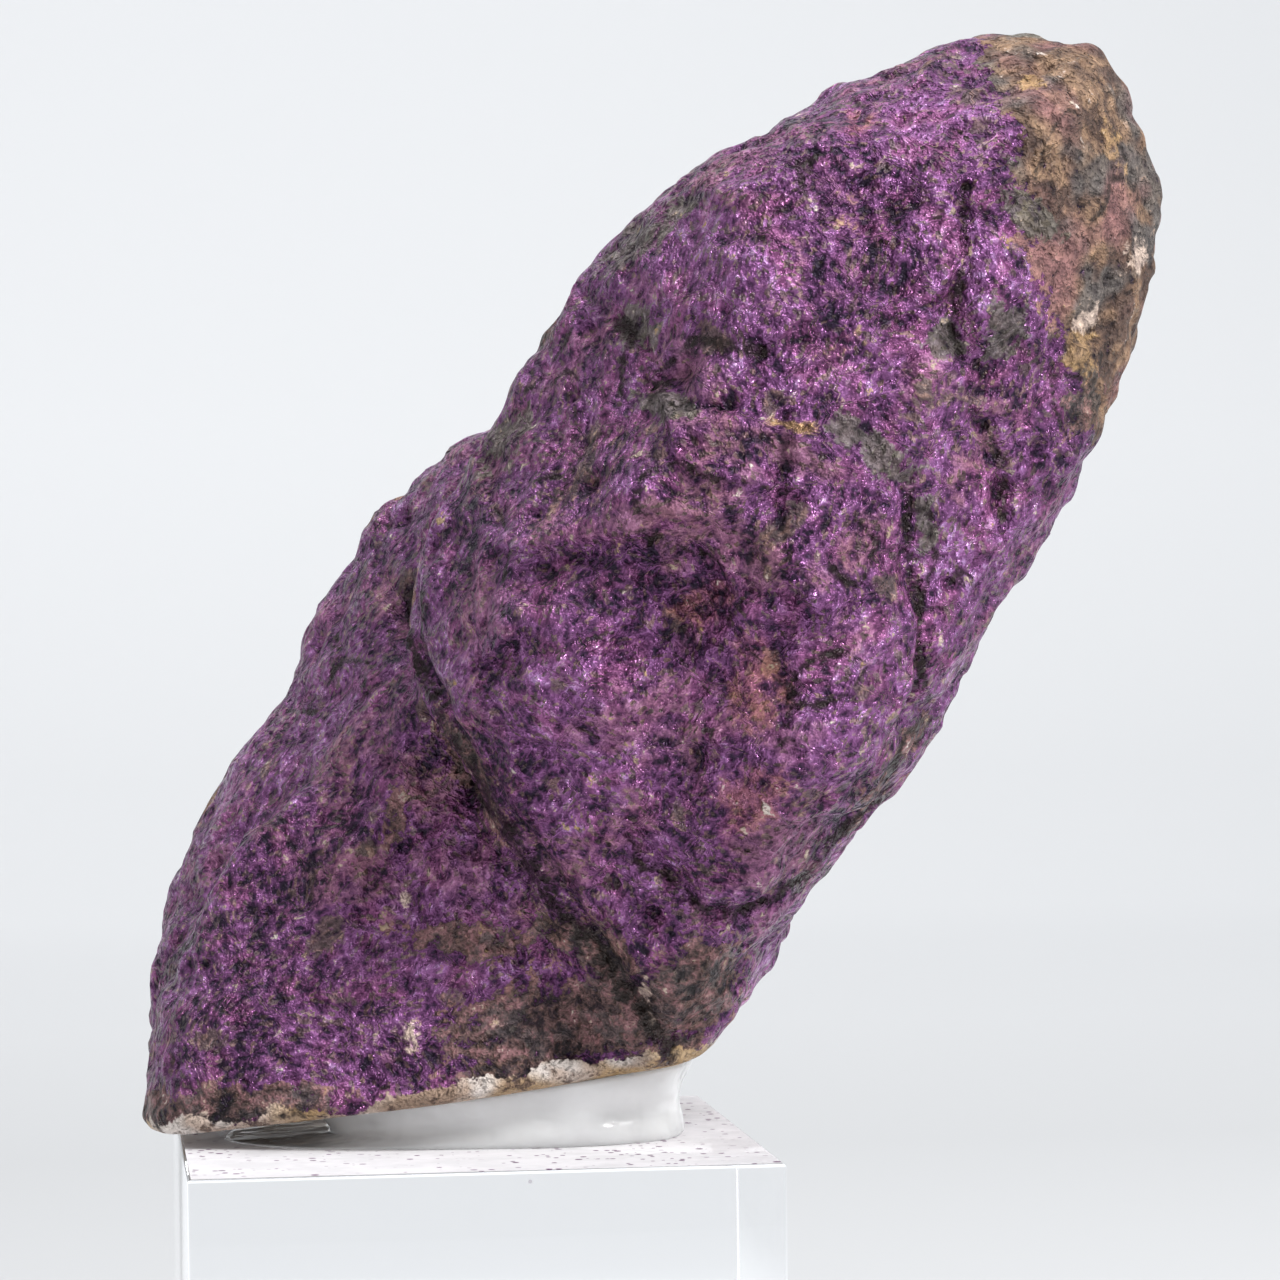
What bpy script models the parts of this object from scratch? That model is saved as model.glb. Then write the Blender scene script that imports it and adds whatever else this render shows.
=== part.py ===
"""A hand specimen of purpurite, a purple manganese phosphate, held by putty on a clear cube.

The stone leans up to the right on one flat broken end, a pad of translucent putty
holds that end, and the pad sits on a bevelled acrylic cube. That makes three solids:
specimen, putty and block. Lengths are in millimetres until a mesh is made. X runs
right along the cube, Y away from the front and Z up, from the middle of the cube's
underside. The stone is described as the front view shows it, and then turned on the cube.
"""
import math

import bpy
import numpy as np

MM = 0.001

# The cube of clear acrylic and the gap that parts touching solids
BLOCK_SIDE = 25.4
BLOCK_BEVEL = 0.3
CONTACT_GAP = 0.3

# The stone's turn on its cube, and how many points go round it and along it
STONE_TURN = math.radians(-7.57)
POINTS_ROUND = 66
RINGS_LONG = 60

# The line through the stone that its surface is measured from, and the share of the rings
# that fan out over each of its ends
CORE_LOW = np.array([-4.0, 3.5, 34.0])
CORE_HIGH = np.array([20.5, -2.0, 64.0])
CAP_SHARE = 0.22

# Colours in linear light
PURPLE = (0.13, 0.045, 0.15)
MILKY = (0.72, 0.72, 0.70)
CLEAR = (0.93, 0.95, 0.96)

# Outlines of the stone's three lobes as the front view shows them, X and Z of smooth closed curves
SLAB_OUTLINE = [
    (2.2, 58.6), (5.4, 63.0), (7.7, 67.3), (13.5, 69.3), (17.8, 71.8), (22.2, 73.7), (26.7, 73.9),
    (30.1, 71.9), (31.8, 68.6), (31.1, 64.5), (30.0, 61.0), (27.7, 55.0), (23.9, 48.8), (20.8, 43.4),
    (16.9, 38.4), (12.8, 33.5), (9.6, 29.4), (6.6, 31.4), (1.5, 40.7), (-2.1, 47.8), (-1.0, 54.0),
]
FOOT_OUTLINE = [
    (-2.8, 45.6), (4.6, 42.3), (10.8, 38.2), (14.2, 35.2), (11.8, 31.8), (8.8, 28.0), (-5.0, 23.6),
    (-13.6, 23.8), (-14.5, 26.6), (-13.8, 31.3), (-11.6, 36.2), (-9.3, 39.5), (-5.7, 42.7),
]
WING_OUTLINE = [
    (2.2, 60.4), (-3.2, 54.9), (-6.3, 50.2), (-8.5, 45.2), (-11.5, 41.0), (-13.8, 36.2),
    (-15.0, 31.8), (-15.4, 26.7), (-13.6, 23.4), (8.5, 27.5), (14.5, 36.0), (18.0, 46.0),
    (16.0, 54.0), (10.0, 60.5), (6.5, 62.2),
]

# Broken faces of each lobe: the way a face looks, as a turn (0 to the front, 90 to the right)
# and a tilt up from level in degrees, and a point that it passes through
SLAB_FACES = [
    (-3, 12, 18.4, -12.5, 62.9), (-5, 50, 20.5, -9.5, 70.5), (-52, 20, 8.6, -9.3, 60.0),
    (-75, 40, 5.0, -5.0, 62.5), (55, 8, 29.6, -7.5, 65.0), (2, -2, 14.0, -13.2, 52.0),
    (30, -8, 19.0, -11.4, 46.0), (-14, -13, 8.5, -10.6, 43.0), (-48, -4, 3.0, -10.5, 48.5),
    (48, -38, 16.4, -8.4, 38.6), (172, 16, 20.0, 7.2, 66.0), (160, -14, 12.0, 9.5, 50.0),
    (122, 6, 28.5, 2.0, 61.0), (-140, 40, 9.0, 5.0, 66.0), (180, 60, 22.0, 3.0, 72.0),
    (112, -30, 18.0, 4.0, 41.0), (84, -26, 27.6, -2.0, 53.0),
]
FOOT_FACES = [
    (-15, 22, -6.0, -3.5, 33.0), (12, 10, 4.0, -5.5, 32.0), (-70, 15, -13.6, 1.0, 31.0),
    (-120, 40, -7.0, 3.0, 41.0), (160, 0, 0.0, 12.0, 32.0), (-40, 48, -6.5, -1.6, 40.6),
]
WING_FACES = [
    (20, -10, 6.0, 1.0, 40.0), (-52, 25, -9.0, 8.0, 45.0), (-78, 10, -16.0, 9.0, 36.0),
    (-60, 60, -0.4, 12.0, 58.6), (166, 14, 2.0, 18.0, 42.0), (-142, 4, -10.0, 15.0, 36.0),
    (-165, 44, 3.0, 13.5, 53.0), (148, -22, 7.0, 14.5, 34.0), (118, 12, 15.5, 10.0, 45.0),
    (-118, -24, -13.5, 12.5, 30.0),
]

# The flat broken end that the stone stands on
BASE_SLOPE = 0.13
BASE_WAY = np.array([BASE_SLOPE, 0.0, -1.0]) / math.hypot(BASE_SLOPE, 1.0)
BASE_POINT = np.array([-14.3, 0.0, BLOCK_SIDE + CONTACT_GAP + 0.03])

# Blends: between a lobe's faces, at its rim, between lobes and at the base, and the wall's draft
SLAB_BLEND, FOOT_BLEND, WING_BLEND = 1.5, 1.3, 1.6
RIM_BLEND, FRONT_JOIN, BACK_JOIN, BASE_BLEND = 1.0, 2.4, 1.8, 0.9
WALL_DRAFT, WALL_SPREAD = 0.3, 0.2
SLAB_WAIST, FOOT_WAIST, WING_WAIST = -4.0, -1.0, 11.0

# Cuts in the front: route in X and Z, depth and half width
FRONT_CUTS = [
    ([(-2.2, 49.6), (-2.0, 47.6), (-0.9, 45.2), (0.7, 41.9), (1.9, 40.1), (4.6, 36.3), (6.3, 33.7),
      (8.1, 31.5), (9.2, 30.1)], 1.0, 0.8),
    ([(19.6, 54.5), (19.8, 52.7), (20.0, 48.9), (20.4, 45.3)], 0.45, 0.45),
    ([(22.6, 66.4), (22.0, 65.0), (21.9, 62.4), (21.8, 59.9)], 0.6, 0.4),
    ([(23.1, 56.8), (23.7, 54.9), (24.2, 52.3)], 0.5, 0.4),
    ([(20.4, 44.5), (19.0, 40.9), (17.3, 39.4), (14.5, 37.2), (12.0, 35.7)], 0.8, 0.6),
    ([(7.9, 39.0), (9.4, 37.4), (11.2, 35.8)], 0.4, 0.45),
    ([(8.6, 58.7), (11.0, 60.0), (13.3, 60.4)], 0.3, 0.4),
]
# Steps in the front: route, height by which its left side (walking along it) stands lower, reach
FRONT_STEPS = [
    ([(12.6, 57.2), (15.9, 56.8), (18.0, 55.5), (19.6, 54.5), (19.8, 52.7), (20.0, 48.9),
      (20.4, 45.3)], 0.4, 3.5),
    ([(3.6, 48.6), (4.6, 50.8), (6.6, 52.2), (8.6, 52.9), (10.6, 52.6), (12.2, 52.6), (13.4, 51.4),
      (14.1, 50.6)], -0.6, 3.2),
]
# Swellings and hollows of the front: X, Z, radius and height
FRONT_MOUNDS = [
    (4.3, 46.1, 3.6, 0.8), (9.6, 49.3, 3.0, -1.0), (7.5, 47.2, 0.9, -0.7), (0.8, 51.5, 3.4, 0.5),
    (14.6, 49.6, 2.2, 0.7), (15.2, 43.5, 2.6, 0.6), (10.5, 43.5, 3.4, -0.5), (24.5, 63.0, 3.0, 0.4),
    (12.0, 64.5, 3.6, 0.4), (-8.5, 31.0, 3.4, 0.5), (0.0, 37.0, 2.6, 0.5), (17.0, 66.0, 2.6, -0.4),
]
# Ledges and scars of the back: X, Z, radius and height
BACK_MOUNDS = [
    (22.0, 62.0, 5.0, 0.9), (14.0, 57.0, 4.0, -1.0), (25.0, 69.0, 3.5, -0.7), (3.0, 48.0, 5.0, -1.0),
    (-6.0, 38.0, 4.5, 0.9), (8.0, 38.0, 4.0, 0.8), (-2.0, 31.0, 3.5, -0.8), (18.0, 50.0, 4.0, 0.7),
]

# The front's lines wander off their routes by this noise, and a step falls over this width
WANDER, WANDER_SIZE, WANDER_SEED = 1.3, 3.0, 41
STEP_FALL = (-0.6, 0.8)
# Rough relief all over: strength in front, strength added at the back, size and seed
SWELLS = [(0.25, 1.1, 12.0, 11), (0.30, 0.4, 5.5, 12), (0.22, 0.0, 2.2, 15)]
CHIPS = [(0.50, 0.6, 8.0, 13), (0.24, 0.1, 3.4, 17)]
CHIP_BORDER, CHIP_OFFSET, CHIP_WANDER = 8.0, 0.5, 0.55
# How far a normal's Y leans to the front or back, and how high above the base, for full relief
FRONT_LEAN, BACK_LEAN, CLEAR_OF_BASE = (0.05, 0.6), (-0.1, 0.6), (0.15, 2.2)

# The pad of putty between cube and stone: its reach, the points round it, the power that squares
# its plan (1 is an ellipse), and its section as pairs of a share of the way up and an inset
PUTTY_LEFT, PUTTY_RIGHT = -8.2, 10.2
PUTTY_FRONT, PUTTY_BACK = -4.7, 8.0
PUTTY_SIDES = 48
PUTTY_CORNER = 0.7
PUTTY_SECTION = [(0.0, 0.25), (0.06, 0.0), (0.3, 0.25), (0.6, 0.45), (0.88, 0.1), (1.0, 0.35)]


def smooth_step(value, low, high):
    """0 below low, 1 above high and an even curve between them."""
    t = np.clip((value - low) / (high - low), 0.0, 1.0)
    return t * t * (3.0 - 2.0 * t)


def smooth_max(a, b, blend):
    """The larger of two values, rounded over where they are within blend of each other."""
    h = np.clip(0.5 + 0.5 * (a - b) / blend, 0.0, 1.0)
    return b * (1.0 - h) + a * h + blend * h * (1.0 - h)


def smooth_min(a, b, blend):
    """The smaller of two values, rounded over where they are within blend of each other."""
    return -smooth_max(-a, -b, blend)


def closed_curve(points, steps=6):
    """A smooth closed curve through hand-placed points, with steps short pieces between two points."""
    p0 = np.array(points)
    before, after, beyond = np.roll(p0, 1, 0), np.roll(p0, -1, 0), np.roll(p0, -2, 0)
    t = (np.arange(steps) / steps)[None, :, None]
    p0, before, after, beyond = (q[:, None, :] for q in (p0, before, after, beyond))
    curve = 0.5 * (2.0 * p0 + (after - before) * t
                   + (2.0 * before - 5.0 * p0 + 4.0 * after - beyond) * t ** 2
                   + (3.0 * p0 - before - 3.0 * after + beyond) * t ** 3)
    return curve.reshape(-1, 2)


class Outline:
    """Distance to a closed curve, less than 0 inside, worked out on a lattice and read off by blending."""

    LOW = np.array([-30.0, 10.0])
    STEP = 0.4
    SHAPE = (190, 190)

    def __init__(self, points):
        curve = closed_curve(points)
        x, z = np.meshgrid(*(self.LOW[k] + self.STEP * np.arange(self.SHAPE[k]) for k in (0, 1)),
                           indexing="ij")
        nearest = np.full(x.shape, 1e9)
        inside = np.zeros(x.shape, bool)
        for (ax, az), (bx, bz) in zip(curve, np.roll(curve, -1, 0)):
            ex, ez, wx, wz = bx - ax, bz - az, x - ax, z - az
            t = np.clip((wx * ex + wz * ez) / (ex * ex + ez * ez), 0.0, 1.0)
            nearest = np.minimum(nearest, (wx - t * ex) ** 2 + (wz - t * ez) ** 2)
            if az != bz:
                inside ^= ((az > z) != (bz > z)) & (x < ax + (z - az) * ex / ez)
        self.lattice = np.sqrt(nearest) * np.where(inside, -1.0, 1.0)

    def distance(self, points):
        at = (points[:, [0, 2]] - self.LOW) / self.STEP
        cell = np.clip(at.astype(int), 0, np.array(self.SHAPE) - 2)
        t = np.clip(at - cell, 0.0, 1.0)
        i, j = cell[:, 0], cell[:, 1]
        s, u = t[:, 0], t[:, 1]
        g = self.lattice
        return ((g[i, j] * (1 - u) + g[i, j + 1] * u) * (1 - s)
                + (g[i + 1, j] * (1 - u) + g[i + 1, j + 1] * u) * s)


class Lobe:
    """One lobe of the stone: broken faces blended together inside the wall of its outline."""

    def __init__(self, outline, faces, blend, waist):
        self.outline = Outline(outline)
        turn, tilt = np.radians(np.array(faces, float)[:, :2].T)
        self.ways = np.stack([np.sin(turn) * np.cos(tilt), -np.cos(turn) * np.cos(tilt), np.sin(tilt)], 1)
        self.reach = (self.ways * np.array(faces, float)[:, 2:]).sum(1)
        self.blend, self.waist = blend, waist

    def field(self, points):
        heights = points @ self.ways.T - self.reach
        total = heights[:, 0]
        for k in range(1, heights.shape[1]):
            total = smooth_max(total, heights[:, k], self.blend)
        draft = WALL_DRAFT * (np.sqrt((points[:, 1] - self.waist) ** 2 + 4.0) - 2.0)
        wall = self.outline.distance(points) - WALL_SPREAD + draft
        return smooth_max(wall, total, RIM_BLEND)


class Stone:
    """The stone as a field that is less than 0 inside it, and the relief of its broken surface."""

    def __init__(self):
        self.slab = Lobe(SLAB_OUTLINE, SLAB_FACES, SLAB_BLEND, SLAB_WAIST)
        self.foot = Lobe(FOOT_OUTLINE, FOOT_FACES, FOOT_BLEND, FOOT_WAIST)
        self.wing = Lobe(WING_OUTLINE, WING_FACES, WING_BLEND, WING_WAIST)

    def field(self, points):
        front = smooth_min(self.slab.field(points), self.foot.field(points), FRONT_JOIN)
        whole = smooth_min(front, self.wing.field(points), BACK_JOIN)
        return smooth_max(whole, (points - BASE_POINT) @ BASE_WAY, BASE_BLEND)


def random_ways(count, seed):
    """Unit vectors in all directions."""
    ways = np.random.default_rng(seed).normal(size=(count, 3))
    return ways / np.linalg.norm(ways, axis=1, keepdims=True)


def lattice_key(cell, seed):
    """A whole number that looks random but always belongs to the same lattice cell."""
    key = (cell[:, 0] * 73856093) ^ (cell[:, 1] * 19349663) ^ (cell[:, 2] * 83492791) ^ (seed * 2654435)
    key = (key ^ (key >> 13)) * 1274126177
    return (key ^ (key >> 16)) & 0x7FFFFFFF


CORNERS = [np.array([i & 1, (i >> 1) & 1, (i >> 2) & 1]) for i in range(8)]
NEIGHBOURS = [np.array([i % 3 - 1, i // 3 % 3 - 1, i // 9 - 1]) for i in range(27)]


def swell(points, size, seed):
    """Soft lumps and dips of about the given size, from -0.7 to 0.7, by blending slopes at lattice corners."""
    q = points / size
    cell = np.floor(q).astype(np.int64)
    t = q - cell
    ease = t ** 3 * (t * (6.0 * t - 15.0) + 10.0)
    ways = random_ways(256, seed)
    total = np.zeros(len(points))
    for corner in CORNERS:
        slope = ways[lattice_key(cell + corner, seed) % 256]
        weight = np.prod(np.where(corner, ease, 1.0 - ease), axis=1)
        total += ((t - corner) * slope).sum(1) * weight
    return total


def chips(points, size, seed):
    """Flat chipped facets of the given size: each cell's own tilted plane, blended over narrow borders."""
    wander = np.stack([swell(points, 0.8 * size, seed + k) for k in (1, 2, 3)], 1)
    q = points / size + CHIP_WANDER * wander
    cell = np.floor(q).astype(np.int64)
    ways = random_ways(256, seed)
    total, weights = np.zeros(len(points)), np.zeros(len(points))
    for shift in NEIGHBOURS:
        near = cell + shift
        key = lattice_key(near, seed)
        place = np.stack([key & 1023, (key >> 10) & 1023, (key >> 20) & 1023], 1) / 1023.0
        v = q - (near + 0.1 + 0.8 * place)
        weight = np.exp(-CHIP_BORDER * (v * v).sum(1))
        plane = (v * ways[key % 256]).sum(1) + CHIP_OFFSET * ((key >> 7) % 256 / 255.0 - 0.5)
        total += weight * plane
        weights += weight
    return total / np.maximum(weights, 1e-9)


def route_distance(route, x, z):
    """Distance to a bent line and the side of it, 1 on its left and -1 on its right."""
    route = np.array(route)
    nearest, side = np.full(x.shape, 1e9), np.ones(x.shape)
    for (ax, az), (bx, bz) in zip(route[:-1], route[1:]):
        ex, ez, wx, wz = bx - ax, bz - az, x - ax, z - az
        t = np.clip((wx * ex + wz * ez) / (ex * ex + ez * ez), 0.0, 1.0)
        away = np.hypot(wx - t * ex, wz - t * ez)
        closer = away < nearest
        side = np.where(closer, np.sign(ex * wz - ez * wx), side)
        nearest = np.where(closer, away, nearest)
    return nearest, side


def front_relief(points):
    """Cuts, steps and swellings that belong to the front of the stone."""
    x, z = points[:, 0], points[:, 2]
    total = np.zeros(len(points))
    wander = WANDER * swell(points, WANDER_SIZE, WANDER_SEED)
    for route, depth, half in FRONT_CUTS:
        away, _ = route_distance(route, x + wander, z - wander)
        total -= depth * np.exp(-(away / half) ** 2)
    for route, height, reach in FRONT_STEPS:
        away, side = route_distance(route, x + wander, z - wander)
        total -= height * smooth_step(side * away, *STEP_FALL) * np.exp(-(away / reach) ** 2)
    for cx, cz, radius, height in FRONT_MOUNDS:
        total += height * np.exp(-((x - cx) ** 2 + (z - cz) ** 2) / radius ** 2)
    return total


def relief(points, normals):
    """How far the surface stands out from the plain form, for points on it and their outward normals."""
    front = smooth_step(-normals[:, 1], *FRONT_LEAN)
    back = smooth_step(normals[:, 1], *BACK_LEAN)
    clear_of_base = smooth_step(-(points - BASE_POINT) @ BASE_WAY, *CLEAR_OF_BASE)
    total = front * front_relief(points)
    for cx, cz, radius, height in BACK_MOUNDS:
        spot = np.exp(-((points[:, 0] - cx) ** 2 + (points[:, 2] - cz) ** 2) / radius ** 2)
        total += back * height * spot
    for noise, layers in ((swell, SWELLS), (chips, CHIPS)):
        for height, more_behind, size, seed in layers:
            total += (height + more_behind * back) * noise(points, size, seed)
    return clear_of_base * total


def ray_grid(points_round, rings):
    """Rays out of the core line: rings round it, fanned over its ends, as starts and ways."""
    axis = (CORE_HIGH - CORE_LOW) / np.linalg.norm(CORE_HIGH - CORE_LOW)
    side = np.cross(axis, [0.0, 1.0, 0.0])
    side /= np.linalg.norm(side)
    over = np.cross(axis, side)
    v = (np.arange(rings) + 0.5) / rings
    along = np.clip((v - CAP_SHARE) / (1.0 - 2.0 * CAP_SHARE), 0.0, 1.0)
    low_lean, high_lean = np.minimum(v / CAP_SHARE - 1.0, 0.0), np.maximum((v - 1.0) / CAP_SHARE + 1.0, 0.0)
    lean = (low_lean + high_lean) * math.pi / 2
    u = 2.0 * math.pi * np.arange(points_round) / points_round
    ring = np.cos(u)[:, None] * side + np.sin(u)[:, None] * over
    starts = (CORE_LOW + along[:, None] * (CORE_HIGH - CORE_LOW))[:, None, :] + 0.0 * ring
    ways = np.cos(lean)[:, None, None] * ring + np.sin(lean)[:, None, None] * axis
    return starts, ways, axis


def find_surface(field, starts, ways, far=36.0, steps=72, halvings=14):
    """The outermost point of each ray that is on the surface: steps inward, then halves the last step."""
    outer, inner = np.full(len(starts), far), np.zeros(len(starts))
    found = np.zeros(len(starts), bool)
    for k in range(1, steps):
        reach = far * (1.0 - k / steps)
        todo = ~found
        solid = field(starts[todo] + reach * ways[todo]) < 0.0
        index = np.flatnonzero(todo)
        inner[index[solid]] = reach
        outer[index[~solid]] = reach
        found[index[solid]] = True
    for _ in range(halvings):
        middle = 0.5 * (outer + inner)
        solid = field(starts + middle[:, None] * ways) < 0.0
        inner, outer = np.where(solid, middle, inner), np.where(solid, outer, middle)
    return starts + (0.5 * (outer + inner))[:, None] * ways


def field_normals(field, points, step=0.25):
    """Outward directions of the field's surface, from differences along the three axes."""
    slope = np.stack([field(points + step * way) - field(points - step * way) for way in np.eye(3)], 1)
    return slope / np.linalg.norm(slope, axis=1, keepdims=True)


def stone_points(points_round, rings):
    """The stone's surface: one point for its low end, the rings between, and one for its high end."""
    stone = Stone()
    starts, ways, axis = ray_grid(points_round, rings)
    starts = np.concatenate([[CORE_LOW], starts.reshape(-1, 3), [CORE_HIGH]])
    ways = np.concatenate([[-axis], ways.reshape(-1, 3), [axis]])
    points = find_surface(stone.field, starts, ways)
    normals = field_normals(stone.field, points)
    return points + relief(points, normals)[:, None] * normals


# Blender objects


def principled(name, color, roughness, metallic=0.0, transmission=0.0, ior=1.5):
    """A plain material of one finish."""
    material = bpy.data.materials.new(name)
    material.use_nodes = True
    shader = material.node_tree.nodes["Principled BSDF"]
    shader.inputs["Base Color"].default_value = (*color, 1.0)
    shader.inputs["Roughness"].default_value = roughness
    shader.inputs["Metallic"].default_value = metallic
    shader.inputs["Transmission Weight"].default_value = transmission
    shader.inputs["IOR"].default_value = ior
    material.diffuse_color = (*color, 1.0)
    return material


def mesh_object(name, points, faces, material, smooth=False):
    """An object from points in millimetres and faces that look outwards."""
    mesh = bpy.data.meshes.new(name)
    mesh.from_pydata((np.asarray(points) * MM).tolist(), [], faces)
    mesh.validate()
    if smooth:
        mesh.shade_smooth()
    mesh.materials.append(material)
    piece = bpy.data.objects.new(name, mesh)
    bpy.context.scene.collection.objects.link(piece)
    return piece


def ring_faces(points_round, rings, low_pole, high_pole):
    """Triangles between rings that stand one above another and to the pole point at each end."""
    faces = []
    for k in range(rings - 1):
        for i in range(points_round):
            j = (i + 1) % points_round
            a, b = 1 + k * points_round + i, 1 + k * points_round + j
            c, d = b + points_round, a + points_round
            faces += [(a, b, c), (a, c, d)]
    last = 1 + (rings - 1) * points_round
    for i in range(points_round):
        j = (i + 1) % points_round
        faces += [(low_pole, 1 + j, 1 + i), (high_pole, last + i, last + j)]
    return faces


def build_specimen():
    """The stone, turned on its cube."""
    points = stone_points(POINTS_ROUND, RINGS_LONG)
    faces = ring_faces(POINTS_ROUND, RINGS_LONG, 0, len(points) - 1)
    purple = principled("purpurite", PURPLE, roughness=0.45, metallic=0.4)
    piece = mesh_object("specimen", points, faces, purple)
    piece.rotation_euler.z = STONE_TURN


def putty_ring(height_share, inset):
    """One closed ring of the pad: a rounded oblong, at a share of the way from cube to stone."""
    turn = 2.0 * math.pi * np.arange(PUTTY_SIDES) / PUTTY_SIDES
    across, deep = (np.sign(w) * np.abs(w) ** PUTTY_CORNER for w in (np.cos(turn), np.sin(turn)))
    x = 0.5 * (PUTTY_RIGHT + PUTTY_LEFT) + (0.5 * (PUTTY_RIGHT - PUTTY_LEFT) - inset) * across
    y = 0.5 * (PUTTY_BACK + PUTTY_FRONT) + (0.5 * (PUTTY_BACK - PUTTY_FRONT) - inset) * deep
    low = BLOCK_SIDE + CONTACT_GAP
    high = BASE_POINT[2] + BASE_SLOPE * (x - BASE_POINT[0]) - CONTACT_GAP
    return np.stack([x, y, low + height_share * (high - low)], 1)


def build_putty():
    """The pad: a wedge with a waist, which fills the gap under the stone's sloping end."""
    rings = [putty_ring(share, inset) for share, inset in PUTTY_SECTION]
    low, high = rings[0].mean(0), rings[-1].mean(0)
    points = np.concatenate([[low], *rings, [high]])
    faces = ring_faces(PUTTY_SIDES, len(rings), 0, len(points) - 1)
    milky = principled("putty", MILKY, roughness=0.25, transmission=0.4, ior=1.45)
    piece = mesh_object("putty", points, faces, milky)
    piece.rotation_euler.z = STONE_TURN


def build_block():
    """The clear cube, with its edges bevelled."""
    half = BLOCK_SIDE / 2.0
    points = [(x, y, z) for z in (0.0, BLOCK_SIDE) for y in (-half, half) for x in (-half, half)]
    faces = [(0, 2, 3, 1), (4, 5, 7, 6), (0, 1, 5, 4), (2, 6, 7, 3), (0, 4, 6, 2), (1, 3, 7, 5)]
    clear = principled("acrylic", CLEAR, roughness=0.03, transmission=1.0, ior=1.49)
    piece = mesh_object("block", points, faces, clear)
    bevel = piece.modifiers.new("edges", "BEVEL")
    bevel.width = BLOCK_BEVEL * MM
    bevel.segments = 2


for old in list(bpy.data.objects):
    bpy.data.objects.remove(old, do_unlink=True)
build_block()
build_putty()
build_specimen()
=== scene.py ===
"""Looks of a purpurite hand specimen that leans on a clear acrylic cube, held by putty.

The stone, the putty and the cube are surfaces worked out with numpy from the same form as
the CAD solids. Lengths are in millimetres until a mesh is made. The stone is described as
the front view shows it, X right, Y away, Z up, and is then turned on its cube.
"""
import logging
import math
from dataclasses import dataclass, field
from enum import Enum
from typing import Callable, Iterator, Sequence

import bpy
import numpy as np
from mathutils import Matrix, Vector


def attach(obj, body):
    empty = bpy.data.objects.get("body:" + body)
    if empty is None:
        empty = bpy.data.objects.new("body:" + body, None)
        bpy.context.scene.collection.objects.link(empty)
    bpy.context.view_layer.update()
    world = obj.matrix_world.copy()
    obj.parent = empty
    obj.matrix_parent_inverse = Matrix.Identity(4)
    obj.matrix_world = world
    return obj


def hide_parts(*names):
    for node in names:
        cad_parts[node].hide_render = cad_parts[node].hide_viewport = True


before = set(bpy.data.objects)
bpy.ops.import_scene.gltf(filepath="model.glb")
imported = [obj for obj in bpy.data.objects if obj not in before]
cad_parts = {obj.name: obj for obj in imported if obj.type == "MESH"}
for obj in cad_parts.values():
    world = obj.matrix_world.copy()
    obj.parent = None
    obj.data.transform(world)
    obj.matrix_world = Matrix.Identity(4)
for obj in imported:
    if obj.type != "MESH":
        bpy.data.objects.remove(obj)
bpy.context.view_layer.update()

Array = np.ndarray
Colour = tuple[float, float, float]
Socket = bpy.types.NodeSocket

MM = 0.001
STONE_TURN = math.radians(-7.57)
BLOCK_SIDE = 25.4
LOG = logging.getLogger("specimen")


def smooth_step(value: Array, low: float, high: float) -> Array:
    """Gives 0 below low, 1 above high and the even curve 3t^2 - 2t^3 between them."""
    t = np.clip((value - low) / (high - low), 0.0, 1.0)
    return t * t * (3.0 - 2.0 * t)


def smooth_max(a: Array, b: Array, blend: float) -> Array:
    """Gives the larger value, lifted by a parabola where the two are within blend of each other."""
    h = np.clip(0.5 + 0.5 * (a - b) / blend, 0.0, 1.0)
    return b * (1.0 - h) + a * h + blend * h * (1.0 - h)


def smooth_min(a: Array, b: Array, blend: float) -> Array:
    """Gives the smaller value, lowered by a parabola where the two are within blend of each other."""
    return -smooth_max(-a, -b, blend)


def to_world(points: Array) -> Array:
    """Turns points of the front view onto the cube and gives them in metres."""
    c, s = math.cos(STONE_TURN), math.sin(STONE_TURN)
    x, y, z = points[:, 0], points[:, 1], points[:, 2]
    return np.stack([x * c - y * s, x * s + y * c, z], 1) * MM


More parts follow.
